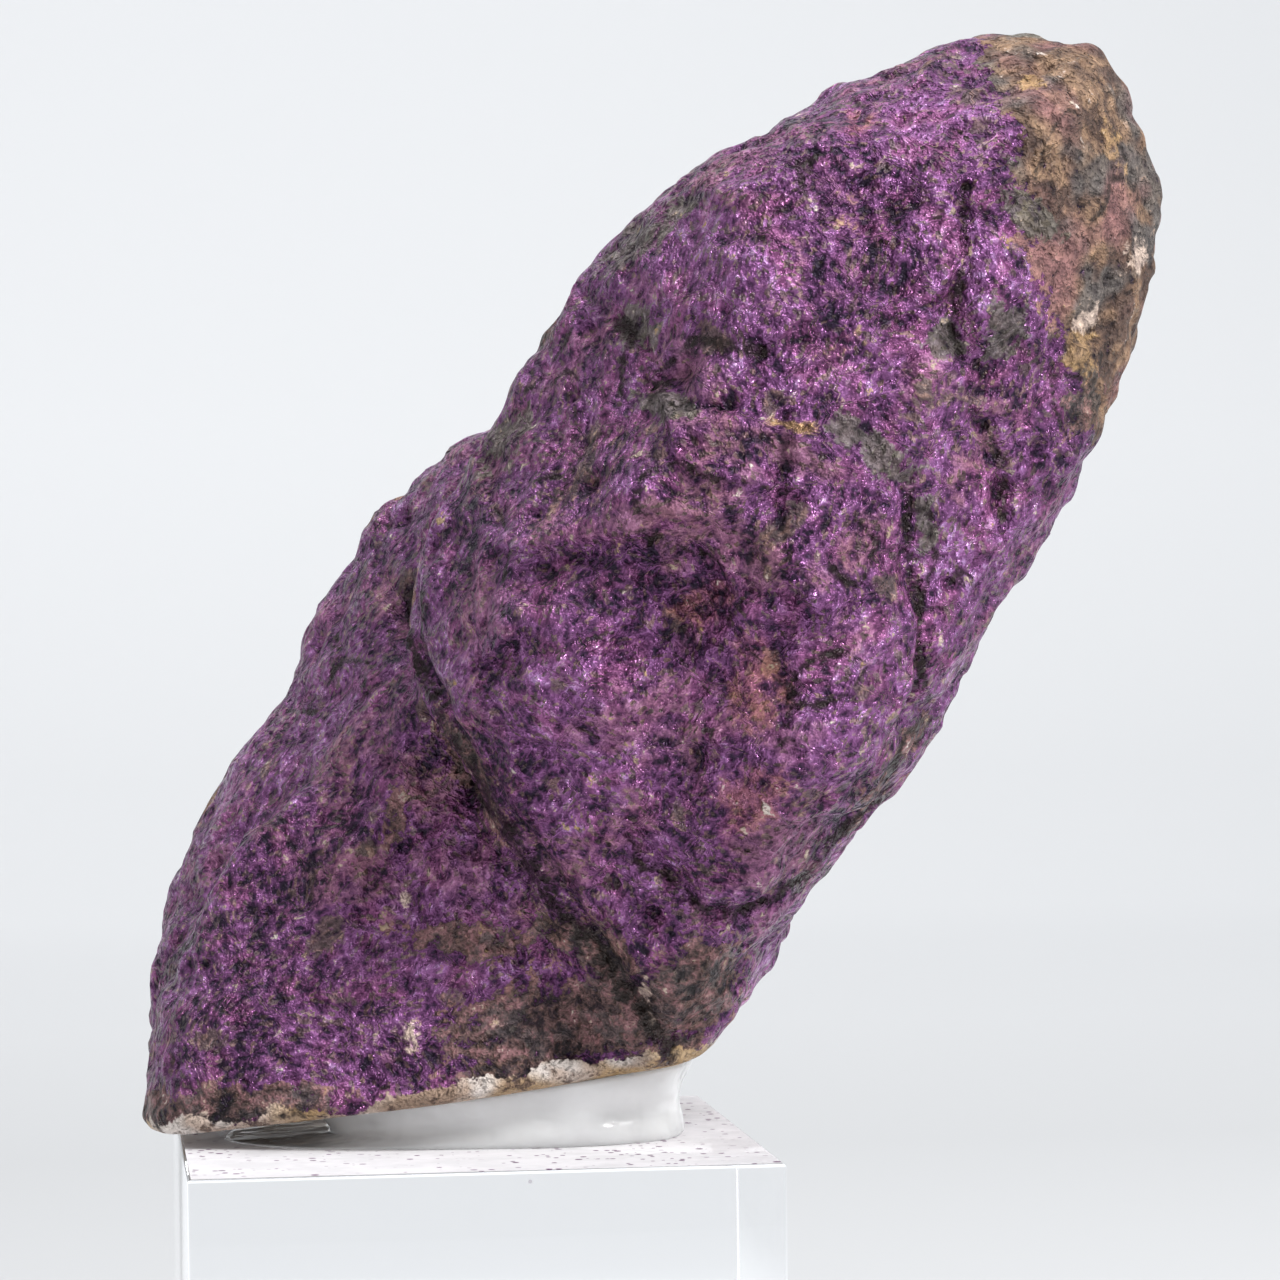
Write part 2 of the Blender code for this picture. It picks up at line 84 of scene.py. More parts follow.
class Noise:
    """Solid noise on a lattice: the same value at the same point, for whole arrays of points."""

    CORNERS = [np.array([i & 1, (i >> 1) & 1, (i >> 2) & 1]) for i in range(8)]
    NEIGHBOURS = [np.array([i % 3 - 1, i // 3 % 3 - 1, i // 9 - 1]) for i in range(27)]

    @staticmethod
    def ways(seed: int) -> Array:
        """Gives 256 unit vectors in all directions."""
        ways = np.random.default_rng(seed).normal(size=(256, 3))
        return ways / np.linalg.norm(ways, axis=1, keepdims=True)

    @staticmethod
    def key(cell: Array, seed: int) -> Array:
        """Gives a whole number for each lattice cell that looks random."""
        key = (cell[:, 0] * 73856093) ^ (cell[:, 1] * 19349663) ^ (cell[:, 2] * 83492791) ^ (seed * 2654435)
        key = (key ^ (key >> 13)) * 1274126177
        return (key ^ (key >> 16)) & 0x7FFFFFFF

    @classmethod
    def swell(cls, points: Array, size: float, seed: int) -> Array:
        """Soft lumps and dips: slopes at the lattice corners, blended with t^3 (6t^2 - 15t + 10).

        Args:
            points: places in millimetres, one row each.
            size: the lattice step in millimetres.
            seed: which noise it is.

        Returns:
            A value for each point, from about -0.7 to 0.7.
        """
        q = points / size
        cell = np.floor(q).astype(np.int64)
        t = q - cell
        ease = t ** 3 * (t * (6.0 * t - 15.0) + 10.0)
        ways = cls.ways(seed)
        total = np.zeros(len(points))
        for corner in cls.CORNERS:
            slope = ways[cls.key(cell + corner, seed) % 256]
            weight = np.prod(np.where(corner, ease, 1.0 - ease), axis=1)
            total += ((t - corner) * slope).sum(1) * weight
        return total

    @classmethod
    def near_cells(cls, q: Array, seed: int) -> Iterator[tuple[Array, Array]]:
        """Gives, for each of the 27 cells about a point, the way from its jittered middle and its key."""
        cell = np.floor(q).astype(np.int64)
        for shift in cls.NEIGHBOURS:
            near = cell + shift
            key = cls.key(near, seed)
            place = np.stack([key & 1023, (key >> 10) & 1023, (key >> 20) & 1023], 1) / 1023.0
            yield q - (near + 0.1 + 0.8 * place), key

    @classmethod
    def chips(cls, points: Array, size: float, seed: int, sharp: float = 8.0) -> Array:
        """Flat chipped facets: each cell's own tilted plane, blended by exp(-sharp d^2) over its borders.

        Args:
            points: places in millimetres, one row each.
            size: the size of a chip in millimetres.
            seed: which noise it is.
            sharp: how narrow the borders are.

        Returns:
            A height for each point, from about -0.6 to 0.6.
        """
        wander = np.stack([cls.swell(points, 0.8 * size, seed + k) for k in (1, 2, 3)], 1)
        ways = cls.ways(seed)
        total, weights = np.zeros(len(points)), np.zeros(len(points))
        for v, key in cls.near_cells(points / size + 0.55 * wander, seed):
            weight = np.exp(-sharp * (v * v).sum(1))
            plane = (v * ways[key % 256]).sum(1) + 0.5 * ((key >> 7) % 256 / 255.0 - 0.5)
            total += weight * plane
            weights += weight
        return total / np.maximum(weights, 1e-9)

    @classmethod
    def cloud(cls, points: Array, size: float, seed: int, octaves: int = 3) -> Array:
        """Cloudy noise from about 0 to 1: swells of the size and of halves of it, each 0.6 as strong."""
        total = sum(0.6 ** k * cls.swell(points, size / 2 ** k, seed + 7 * k) for k in range(octaves))
        return np.clip(0.5 + 0.8 * total, 0.0, 1.0)

    @classmethod
    def veins(cls, points: Array, size: float, seed: int) -> Array:
        """Borders between cells: half the second nearest middle's distance less the nearest's.

        Args:
            points: places in millimetres, one row each.
            size: the size of a cell in millimetres.
            seed: which noise it is.

        Returns:
            The distance in millimetres to the nearest border for each point.
        """
        wander = np.stack([cls.swell(points, 0.6 * size, seed + k) for k in (1, 2, 3)], 1)
        first, second = np.full(len(points), 9.0), np.full(len(points), 9.0)
        for v, _ in cls.near_cells(points / size + 0.5 * wander, seed):
            away = np.sqrt((v * v).sum(1))
            second = np.minimum(second, np.maximum(first, away))
            first = np.minimum(first, away)
        return 0.5 * size * (second - first)

    @classmethod
    def pits(cls, points: Array, size: float, seed: int, share: float) -> Array:
        """Round pits: 1 at the middle of a share of the cells, falling as (1 - 9 d^2)^2 to 0."""
        deep = np.zeros(len(points))
        for v, key in cls.near_cells(points / size, seed):
            kept = (key >> 5) % 1000 < 1000 * share
            deep = np.maximum(deep, np.where(kept, np.clip(1.0 - 9.0 * (v * v).sum(1), 0.0, 1.0) ** 2, 0.0))
        return deep


def closed_curve(points: Sequence[tuple[float, float]], steps: int = 6) -> Array:
    """Gives a smooth closed curve through given points: cubic pieces whose slope at each point
    is half the way from its last to its next neighbour."""
    p0 = np.array(points)
    before, after, beyond = np.roll(p0, 1, 0), np.roll(p0, -1, 0), np.roll(p0, -2, 0)
    t = (np.arange(steps) / steps)[None, :, None]
    p0, before, after, beyond = (q[:, None, :] for q in (p0, before, after, beyond))
    curve = 0.5 * (2.0 * p0 + (after - before) * t
                   + (2.0 * before - 5.0 * p0 + 4.0 * after - beyond) * t ** 2
                   + (3.0 * p0 - before - 3.0 * after + beyond) * t ** 3)
    return curve.reshape(-1, 2)


def route_distance(route: Sequence[tuple[float, float]], x: Array, z: Array) -> tuple[Array, Array]:
    """Measures how far points are from a bent line.

    Args:
        route: the line's corners in X and Z.
        x: each point's X.
        z: each point's Z.

    Returns:
        The distances, and the sides: 1 on the left of the line's way and -1 on the right.
    """
    points = np.array(route)
    nearest, side = np.full(x.shape, 1e9), np.ones(x.shape)
    for (ax, az), (bx, bz) in zip(points[:-1], points[1:]):
        ex, ez, wx, wz = bx - ax, bz - az, x - ax, z - az
        t = np.clip((wx * ex + wz * ez) / (ex * ex + ez * ez), 0.0, 1.0)
        away = np.hypot(wx - t * ex, wz - t * ez)
        closer = away < nearest
        side = np.where(closer, np.sign(ex * wz - ez * wx), side)
        nearest = np.where(closer, away, nearest)
    return nearest, side


class Outline:
    """Distance to a closed curve, less than 0 inside, from a square lattice of exact distances."""

    LOW = np.array([-30.0, 10.0])
    STEP = 0.4
    SHAPE = (190, 190)

    def __init__(self, points: Sequence[tuple[float, float]]) -> None:
        curve = closed_curve(points)
        x, z = np.meshgrid(*(self.LOW[k] + self.STEP * np.arange(self.SHAPE[k]) for k in (0, 1)),
                           indexing="ij")
        nearest = np.full(x.shape, 1e9)
        inside = np.zeros(x.shape, bool)
        for (ax, az), (bx, bz) in zip(curve, np.roll(curve, -1, 0)):
            ex, ez, wx, wz = bx - ax, bz - az, x - ax, z - az
            t = np.clip((wx * ex + wz * ez) / (ex * ex + ez * ez), 0.0, 1.0)
            nearest = np.minimum(nearest, (wx - t * ex) ** 2 + (wz - t * ez) ** 2)
            if az != bz:
                inside ^= ((az > z) != (bz > z)) & (x < ax + (z - az) * ex / ez)
        self.lattice = np.sqrt(nearest) * np.where(inside, -1.0, 1.0)

    def distance(self, points: Array) -> Array:
        """Gives the distance at X and Z of each point, blended between the four lattice corners."""
        at = (points[:, [0, 2]] - self.LOW) / self.STEP
        cell = np.clip(at.astype(int), 0, np.array(self.SHAPE) - 2)
        s, u = np.clip(at - cell, 0.0, 1.0).T
        i, j = cell.T
        g = self.lattice
        return ((g[i, j] * (1 - u) + g[i, j + 1] * u) * (1 - s)
                + (g[i + 1, j] * (1 - u) + g[i + 1, j + 1] * u) * s)


@dataclass(frozen=True)
class Lobe:
    """One lobe of the stone: broken faces blended together inside the wall of its outline.

    A face is a turn (0 to the front, 90 to the right) and a tilt up in degrees, and a point on it.
    """

    outline: tuple[tuple[float, float], ...]
    faces: tuple[tuple[float, float, float, float, float], ...]
    blend: float
    waist: float
    rim_blend: float = 1.0
    draft: float = 0.3
    spread: float = 0.2

    def field(self) -> Callable[[Array], Array]:
        """Gives the lobe's field: the smooth maximum of its faces' heights and its wall's distance."""
        outline = Outline(self.outline)
        faces = np.array(self.faces)
        turn, tilt = np.radians(faces[:, :2].T)
        ways = np.stack([np.sin(turn) * np.cos(tilt), -np.cos(turn) * np.cos(tilt), np.sin(tilt)], 1)
        reach = (ways * faces[:, 2:]).sum(1)

        def value(points: Array) -> Array:
            heights = points @ ways.T - reach
            total = heights[:, 0]
            for k in range(1, heights.shape[1]):
                total = smooth_max(total, heights[:, k], self.blend)
            draft = self.draft * (np.sqrt((points[:, 1] - self.waist) ** 2 + 4.0) - 2.0)
            return smooth_max(outline.distance(points) - self.spread + draft, total, self.rim_blend)

        return value


SLAB = Lobe(
    outline=(
        (2.2, 58.6), (5.4, 63.0), (7.7, 67.3), (13.5, 69.3), (17.8, 71.8), (22.2, 73.7), (26.7, 73.9),
        (30.1, 71.9), (31.8, 68.6), (31.1, 64.5), (30.0, 61.0), (27.7, 55.0), (23.9, 48.8), (20.8, 43.4),
        (16.9, 38.4), (12.8, 33.5), (9.6, 29.4), (6.6, 31.4), (1.5, 40.7), (-2.1, 47.8), (-1.0, 54.0),
    ),
    faces=(
        (-3, 12, 18.4, -12.5, 62.9), (-5, 50, 20.5, -9.5, 70.5), (-52, 20, 8.6, -9.3, 60.0),
        (-75, 40, 5.0, -5.0, 62.5), (55, 8, 29.6, -7.5, 65.0), (2, -2, 14.0, -13.2, 52.0),
        (30, -8, 19.0, -11.4, 46.0), (-14, -13, 8.5, -10.6, 43.0), (-48, -4, 3.0, -10.5, 48.5),
        (48, -38, 16.4, -8.4, 38.6), (172, 16, 20.0, 7.2, 66.0), (160, -14, 12.0, 9.5, 50.0),
        (122, 6, 28.5, 2.0, 61.0), (-140, 40, 9.0, 5.0, 66.0), (180, 60, 22.0, 3.0, 72.0),
        (112, -30, 18.0, 4.0, 41.0), (84, -26, 27.6, -2.0, 53.0),
    ),
    blend=1.5,
    waist=-4.0,
)
FOOT = Lobe(
    outline=(
        (-2.8, 45.6), (4.6, 42.3), (10.8, 38.2), (14.2, 35.2), (11.8, 31.8), (8.8, 28.0), (-5.0, 23.6),
        (-13.6, 23.8), (-14.5, 26.6), (-13.8, 31.3), (-11.6, 36.2), (-9.3, 39.5), (-5.7, 42.7),
    ),
    faces=(
        (-15, 22, -6.0, -3.5, 33.0), (12, 10, 4.0, -5.5, 32.0), (-70, 15, -13.6, 1.0, 31.0),
        (-120, 40, -7.0, 3.0, 41.0), (160, 0, 0.0, 12.0, 32.0), (-40, 48, -6.5, -1.6, 40.6),
    ),
    blend=1.3,
    waist=-1.0,
)
WING = Lobe(
    outline=(
        (2.2, 60.4), (-3.2, 54.9), (-6.3, 50.2), (-8.5, 45.2), (-11.5, 41.0), (-13.8, 36.2),
        (-15.0, 31.8), (-15.4, 26.7), (-13.6, 23.4), (8.5, 27.5), (14.5, 36.0), (18.0, 46.0),
        (16.0, 54.0), (10.0, 60.5), (6.5, 62.2),
    ),
    faces=(
        (20, -10, 6.0, 1.0, 40.0), (-52, 25, -9.0, 8.0, 45.0), (-78, 10, -16.0, 9.0, 36.0),
        (-60, 60, -0.4, 12.0, 58.6), (166, 14, 2.0, 18.0, 42.0), (-142, 4, -10.0, 15.0, 36.0),
        (-165, 44, 3.0, 13.5, 53.0), (148, -22, 7.0, 14.5, 34.0), (118, 12, 15.5, 10.0, 45.0),
        (-118, -24, -13.5, 12.5, 30.0),
    ),
    blend=1.6,
    waist=11.0,
)


class Tint(Enum):
    """What a patch of the stone is made of, and where highlights and shade are painted on it; each becomes a
    mask on the mesh.
    """

    RIND = "rind"
    MATRIX = "matrix"
    LODE_AND_SHEEN = "lode_and_sheen"
    OCHRE = "ochre"
    RUST = "rust"
    SKIN = "skin"
    HIGHLIGHT_AND_BRIGHT_TONE = "highlight_and_bright_tone"
    SHADE_AND_DARK_TONE = "deep"
    PALE = "pale"


@dataclass(frozen=True)
class Patch:
    """A patch of one tint on the front: its middle, half length, half width, and turn in degrees."""

    tint: Tint
    x: float
    z: float
    long: float
    wide: float
    turn: float = 0.0
    strength: float = 1.0


FRONT_PATCHES = tuple(Patch(tint, *row) for tint, rows in {
    # Grey-green lode patches; those along the slab's left edge paint its grey grazing sheen.
    Tint.LODE_AND_SHEEN: (
        (18.3, 55.8, 2.3, 0.8, -35), (21.1, 60.4, 0.9, 0.7), (23.8, 60.8, 1.4, 0.9, 60),
        (9.5, 57.7, 1.5, 0.7, -10), (8.2, 65.1, 2.2, 1.1, 35, 0.8), (10.3, 66.5, 1.5, 0.6, 30, 0.8),
        (2.3, 56.6, 2.2, 1.0, 50, 0.7), (8.3, 61.5, 1.0, 1.3, 0, 0.8), (25.1, 65.7, 1.8, 0.9, -40),
        (20.4, 52.8, 0.5, 1.6, 0, 0.9),
    ),
    Tint.OCHRE: (
        (14.9, 56.7, 1.3, 0.28, -5), (25.3, 71.6, 0.7, 0.6), (27.3, 60.2, 0.9, 1.5, 0),
        (16.8, 60.2, 1.5, 1.0, 20, 0.5), (17.3, 65.8, 0.9, 2.2, 0, 0.45),
        (29.0, 69.0, 0.6, 1.8, 20, 0.7),
    ),
    Tint.RUST: (
        (13.2, 45.9, 1.5, 2.6, 10), (12.8, 41.0, 2.2, 1.4, 30), (10.7, 49.3, 1.8, 0.9, 20),
        (28.4, 63.5, 1.0, 2.5), (17.6, 69.8, 1.2, 0.8, 0, 0.8), (6.0, 54.0, 2.0, 1.0, 30, 0.5),
    ),
    # Painted shade: darker patches laid in the hollow under the brow and the other places the light does not
    # reach.
    Tint.SHADE_AND_DARK_TONE: (
        (8.2, 50.2, 2.8, 1.6, 15), (12.4, 55.6, 1.3, 0.8, 40), (0.6, 52.8, 1.3, 2.6, -10),
        (10.3, 47.6, 1.3, 1.8), (19.2, 64.4, 1.4, 2.6), (16.3, 62.6, 1.0, 1.8, 0, 0.8),
        (18.6, 52.0, 1.0, 2.0, 0, 0.5), (3.5, 41.5, 1.6, 2.6, 50, 0.8), (-8.6, 33.6, 5.0, 3.4, 50, 0.8),
        (17.0, 40.0, 0.8, 3.0, -38, 0.9),
    ),
    # Painted highlights: lighter patches laid where light falls on the front and its flakes shine.
    Tint.HIGHLIGHT_AND_BRIGHT_TONE: (
        (20.2, 70.1, 2.4, 1.6, 20), (9.0, 62.6, 1.6, 2.3, 0, 0.4), (-1.2, 36.2, 2.4, 2.0, 30, 0.9),
        (13.2, 62.5, 2.6, 1.2, 20), (21.3, 57.9, 1.6, 2.2), (21.8, 51.2, 2.0, 1.5, 30),
        (4.2, 46.1, 1.3, 1.3), (22.5, 63.6, 0.9, 2.2), (17.0, 49.0, 3.0, 3.4, 0, 0.5),
        (-2.4, 40.6, 1.6, 1.2, 0, 0.6), (26.2, 58.6, 0.7, 1.6),
    ),
    Tint.SKIN: (
        (14.9, 55.4, 2.8, 0.8, -25), (8.0, 52.9, 2.8, 0.7, 10), (13.4, 51.0, 1.0, 1.7),
        (1.6, 48.8, 1.8, 2.8, -15, 0.7), (14.0, 38.9, 2.6, 1.7, 45), (12.6, 68.6, 3.2, 0.8, 32),
        (19.0, 72.3, 3.0, 0.8, 25), (5.6, 60.2, 0.9, 3.0, -40, 0.7), (-6.0, 38.0, 3.0, 1.4, 40, 0.6),
        (0.4, 37.2, 1.6, 2.0, 0, 0.8), (25.0, 51.0, 0.6, 2.6, -30, 0.8),
    ),
    Tint.MATRIX: (
        (5.2, 31.0, 6.4, 2.0, 8), (10.6, 32.6, 1.8, 2.4, -30), (5.6, 34.4, 3.0, 1.2, -25, 0.9),
        (-8.9, 27.5, 4.0, 0.8, 5), (0.6, 34.5, 3.4, 0.8, -5, 0.8), (1.0, 41.4, 0.9, 3.4, 30, 0.8),
        (-2.7, 39.6, 0.7, 1.5, 0, 0.6), (19.5, 42.5, 0.7, 3.4, -38, 0.7),
        (27.4, 57.6, 0.9, 1.6, -20, 0.9),
    ),
    Tint.PALE: (
        (-2.3, 30.4, 1.3, 0.7, 15, 0.6), (8.3, 31.8, 0.3, 1.7, 5), (-2.3, 36.1, 0.5, 0.4),
        (29.9, 64.4, 0.5, 0.9, 0, 0.9), (27.4, 61.4, 1.1, 0.5, 50), (1.5, 30.6, 1.2, 0.35, 20, 0.4),
    ),
}.items() for row in rows)


@dataclass(frozen=True)
class Cut:
    """A crack, crease or step in the front: its route in X and Z, depth and half width."""

    route: tuple[tuple[float, float], ...]
    depth: float
    half: float


@dataclass(frozen=True)
class StoneForm:
    """The stone as a field that is less than 0 inside it, and the relief of its broken surface."""

    base_slope: float = 0.13
    base_point: tuple[float, float, float] = (-14.3, 0.0, 25.73)
    base_blend: float = 0.9
    front_join: float = 2.4
    back_join: float = 1.8
    cuts: tuple[Cut, ...] = (
        Cut(((-2.2, 49.6), (-2.0, 47.6), (-0.9, 45.2), (0.7, 41.9), (1.9, 40.1), (4.6, 36.3),
             (6.3, 33.7), (8.1, 31.5), (9.2, 30.1)), 1.0, 0.8),
        Cut(((19.6, 54.5), (19.8, 52.7), (20.0, 48.9), (20.4, 45.3)), 0.45, 0.45),
        Cut(((22.6, 66.4), (22.0, 65.0), (21.9, 62.4), (21.8, 59.9)), 0.6, 0.4),
        Cut(((23.1, 56.8), (23.7, 54.9), (24.2, 52.3)), 0.5, 0.4),
        Cut(((20.4, 44.5), (19.0, 40.9), (17.3, 39.4), (14.5, 37.2), (12.0, 35.7)), 0.8, 0.6),
        Cut(((7.9, 39.0), (9.4, 37.4), (11.2, 35.8)), 0.4, 0.45),
        Cut(((8.6, 58.7), (11.0, 60.0), (13.3, 60.4)), 0.3, 0.4),
    )
    steps: tuple[Cut, ...] = (
        Cut(((12.6, 57.2), (15.9, 56.8), (18.0, 55.5), (19.6, 54.5), (19.8, 52.7), (20.0, 48.9),
             (20.4, 45.3)), 0.4, 3.5),
        Cut(((3.6, 48.6), (4.6, 50.8), (6.6, 52.2), (8.6, 52.9), (10.6, 52.6), (12.2, 52.6),
             (13.4, 51.4), (14.1, 50.6)), -0.6, 3.2),
    )
    front_mounds: tuple[tuple[float, float, float, float], ...] = (
        (4.3, 46.1, 3.6, 0.8), (9.6, 49.3, 3.0, -1.0), (7.5, 47.2, 0.9, -0.7), (0.8, 51.5, 3.4, 0.5),
        (14.6, 49.6, 2.2, 0.7), (15.2, 43.5, 2.6, 0.6), (10.5, 43.5, 3.4, -0.5), (24.5, 63.0, 3.0, 0.4),
        (12.0, 64.5, 3.6, 0.4), (-8.5, 31.0, 3.4, 0.5), (0.0, 37.0, 2.6, 0.5), (17.0, 66.0, 2.6, -0.4),
    )
    back_mounds: tuple[tuple[float, float, float, float], ...] = (
        (22.0, 62.0, 5.0, 0.9), (14.0, 57.0, 4.0, -1.0), (25.0, 69.0, 3.5, -0.7),
        (3.0, 48.0, 5.0, -1.0), (-6.0, 38.0, 4.5, 0.9), (8.0, 38.0, 4.0, 0.8),
        (-2.0, 31.0, 3.5, -0.8), (18.0, 50.0, 4.0, 0.7),
    )

    def height_over_base(self, points: Array) -> Array:
        """Gives how far points are above the flat broken end that the stone stands on."""
        way = np.array([self.base_slope, 0.0, -1.0]) / math.hypot(self.base_slope, 1.0)
        return -(points - np.array(self.base_point)) @ way

    def field(self) -> Callable[[Array], Array]:
        """Gives the whole stone's field: its lobes' smooth minimum, cut off flat at the base."""
        slab, foot, wing = SLAB.field(), FOOT.field(), WING.field()

        def value(points: Array) -> Array:
            front = smooth_min(slab(points), foot(points), self.front_join)
            whole = smooth_min(front, wing(points), self.back_join)
            return smooth_max(whole, -self.height_over_base(points), self.base_blend)

        return value

    def front_relief(self, points: Array) -> Array:
        """Gives the front's cuts (Gaussian grooves), steps (one side lower) and Gaussian swellings."""
        x, z = points[:, 0], points[:, 2]
        total = np.zeros(len(points))
        wander = 1.3 * Noise.swell(points, 3.0, 41)
        for cut in self.cuts:
            away, _ = route_distance(cut.route, x + wander, z - wander)
            total -= cut.depth * np.exp(-(away / cut.half) ** 2)
        for step in self.steps:
            away, side = route_distance(step.route, x + wander, z - wander)
            total -= step.depth * smooth_step(side * away, -0.6, 0.8) * np.exp(-(away / step.half) ** 2)
        for cx, cz, radius, height in self.front_mounds:
            total += height * np.exp(-((x - cx) ** 2 + (z - cz) ** 2) / radius ** 2)
        return total

    def relief(self, points: Array, normals: Array) -> Array:
        """Gives how far the broken surface stands out from the plain form, as the CAD solid does too."""
        front = smooth_step(-normals[:, 1], 0.05, 0.6)
        back = smooth_step(normals[:, 1], -0.1, 0.6)
        total = front * self.front_relief(points)
        for cx, cz, radius, height in self.back_mounds:
            spot = np.exp(-((points[:, 0] - cx) ** 2 + (points[:, 2] - cz) ** 2) / radius ** 2)
            total += back * height * spot
        total += (0.25 + 1.1 * back) * Noise.swell(points, 12.0, 11)
        total += (0.30 + 0.4 * back) * Noise.swell(points, 5.5, 12)
        total += (0.50 + 0.6 * back) * Noise.chips(points, 8.0, 13)
        total += (0.24 + 0.1 * back) * Noise.chips(points, 3.4, 17)
        total += 0.22 * Noise.swell(points, 2.2, 15)
        return smooth_step(self.height_over_base(points), 0.15, 2.2) * total


@dataclass(frozen=True)
class RayCore:
    """Rays out of a line through the stone: rings round it, fanned over its ends."""

    low: tuple[float, float, float] = (-4.0, 3.5, 34.0)
    high: tuple[float, float, float] = (20.5, -2.0, 64.0)
    cap_share: float = 0.22
    far: float = 36.0
    steps: int = 40
    halvings: int = 10

    def rays(self, points_round: int, rings: int) -> tuple[Array, Array]:
        """Gives each ray's start and way: u turns about the line, v leans back over the low end,
        runs along the line and leans over the high end. The first and last ray are the two ends'.

        Args:
            points_round: how many rays a ring has.
            rings: how many rings there are.

        Returns:
            The starts and the unit ways, one row for each ray.
        """
        low, high = np.array(self.low), np.array(self.high)
        axis = (high - low) / np.linalg.norm(high - low)
        side = np.cross(axis, [0.0, 1.0, 0.0])
        side /= np.linalg.norm(side)
        over = np.cross(axis, side)
        share = self.cap_share
        v = (np.arange(rings) + 0.5) / rings
        along = np.clip((v - share) / (1.0 - 2.0 * share), 0.0, 1.0)
        lean = np.where(v < share, v / share - 1.0, np.where(v > 1 - share, (v - 1) / share + 1, 0.0))
        lean = lean * math.pi / 2
        u = 2.0 * math.pi * np.arange(points_round) / points_round
        ring = np.cos(u)[:, None] * side + np.sin(u)[:, None] * over
        starts = (low + along[:, None] * (high - low))[:, None, :] + 0.0 * ring
        ways = np.cos(lean)[:, None, None] * ring + np.sin(lean)[:, None, None] * axis
        return (np.concatenate([[low], starts.reshape(-1, 3), [high]]),
                np.concatenate([[-axis], ways.reshape(-1, 3), [axis]]))

    def surface(self, value: Callable[[Array], Array], starts: Array, ways: Array) -> Array:
        """Gives the outermost point of each ray on the surface: steps inward, then halves the last step."""
        outer, inner = np.full(len(starts), self.far), np.zeros(len(starts))
        found = np.zeros(len(starts), bool)
        for k in range(1, self.steps):
            reach = self.far * (1.0 - k / self.steps)
            index = np.flatnonzero(~found)
            solid = value(starts[index] + reach * ways[index]) < 0.0
            inner[index[solid]] = reach
            outer[index[~solid]] = reach
            found[index[solid]] = True
        for _ in range(self.halvings):
            middle = 0.5 * (outer + inner)
            solid = value(starts + middle[:, None] * ways) < 0.0
            inner, outer = np.where(solid, middle, inner), np.where(solid, outer, middle)
        return starts + (0.5 * (outer + inner))[:, None] * ways


def ring_faces(points_round: int, rings: int) -> Array:
    """Gives triangles for rings one above another, with a pole point before and one after them.

    Args:
        points_round: how many points a ring has.
        rings: how many rings there are.

    Returns:
        One row of three point numbers for each triangle, turned outward.
    """
    i = np.arange(points_round)
    j = (i + 1) % points_round
    row = 1 + points_round * np.arange(rings - 1)[:, None]
    a, b = row + i, row + j
    c, d = b + points_round, a + points_round
    last = 1 + (rings - 1) * points_round
    walls = np.concatenate([np.stack(corners, -1).reshape(-1, 3) for corners in ((a, b, c), (a, c, d))])
    low = np.stack([0 * i, 1 + j, 1 + i], 1)
    high = np.stack([0 * i + last + points_round, last + i, last + j], 1)
    return np.concatenate([walls, low, high])


def mesh_piece(name: str, points: Array, faces: Array) -> bpy.types.Object:
    """Makes a smooth object at the origin from points in metres and triangles, filled by foreach_set.

    Args:
        name: the piece's name.
        points: one row of X, Y and Z for each vertex.
        faces: one row of three vertex numbers for each triangle.

    Returns:
        The new object, linked into the scene.
    """
    mesh = bpy.data.meshes.new(name)
    mesh.vertices.add(len(points))
    mesh.vertices.foreach_set("co", np.ascontiguousarray(points, np.float32).ravel())
    mesh.loops.add(faces.size)
    mesh.loops.foreach_set("vertex_index", np.ascontiguousarray(faces, np.int32).ravel())
    mesh.polygons.add(len(faces))
    mesh.polygons.foreach_set("loop_start", np.arange(0, faces.size, 3, dtype=np.int32))
    mesh.update(calc_edges=True)
    mesh.validate()
    mesh.shade_smooth()
    piece = bpy.data.objects.new(name, mesh)
    bpy.context.scene.collection.objects.link(piece)
    return piece


def add_mask(piece: bpy.types.Object, name: str, values: Array) -> None:
    """Stores a value from 0 to 1 for each vertex as a named attribute."""
    layer = piece.data.attributes.new(name, "FLOAT", "POINT")
    layer.data.foreach_set("value", np.clip(values, 0.0, 1.0).astype(np.float32))


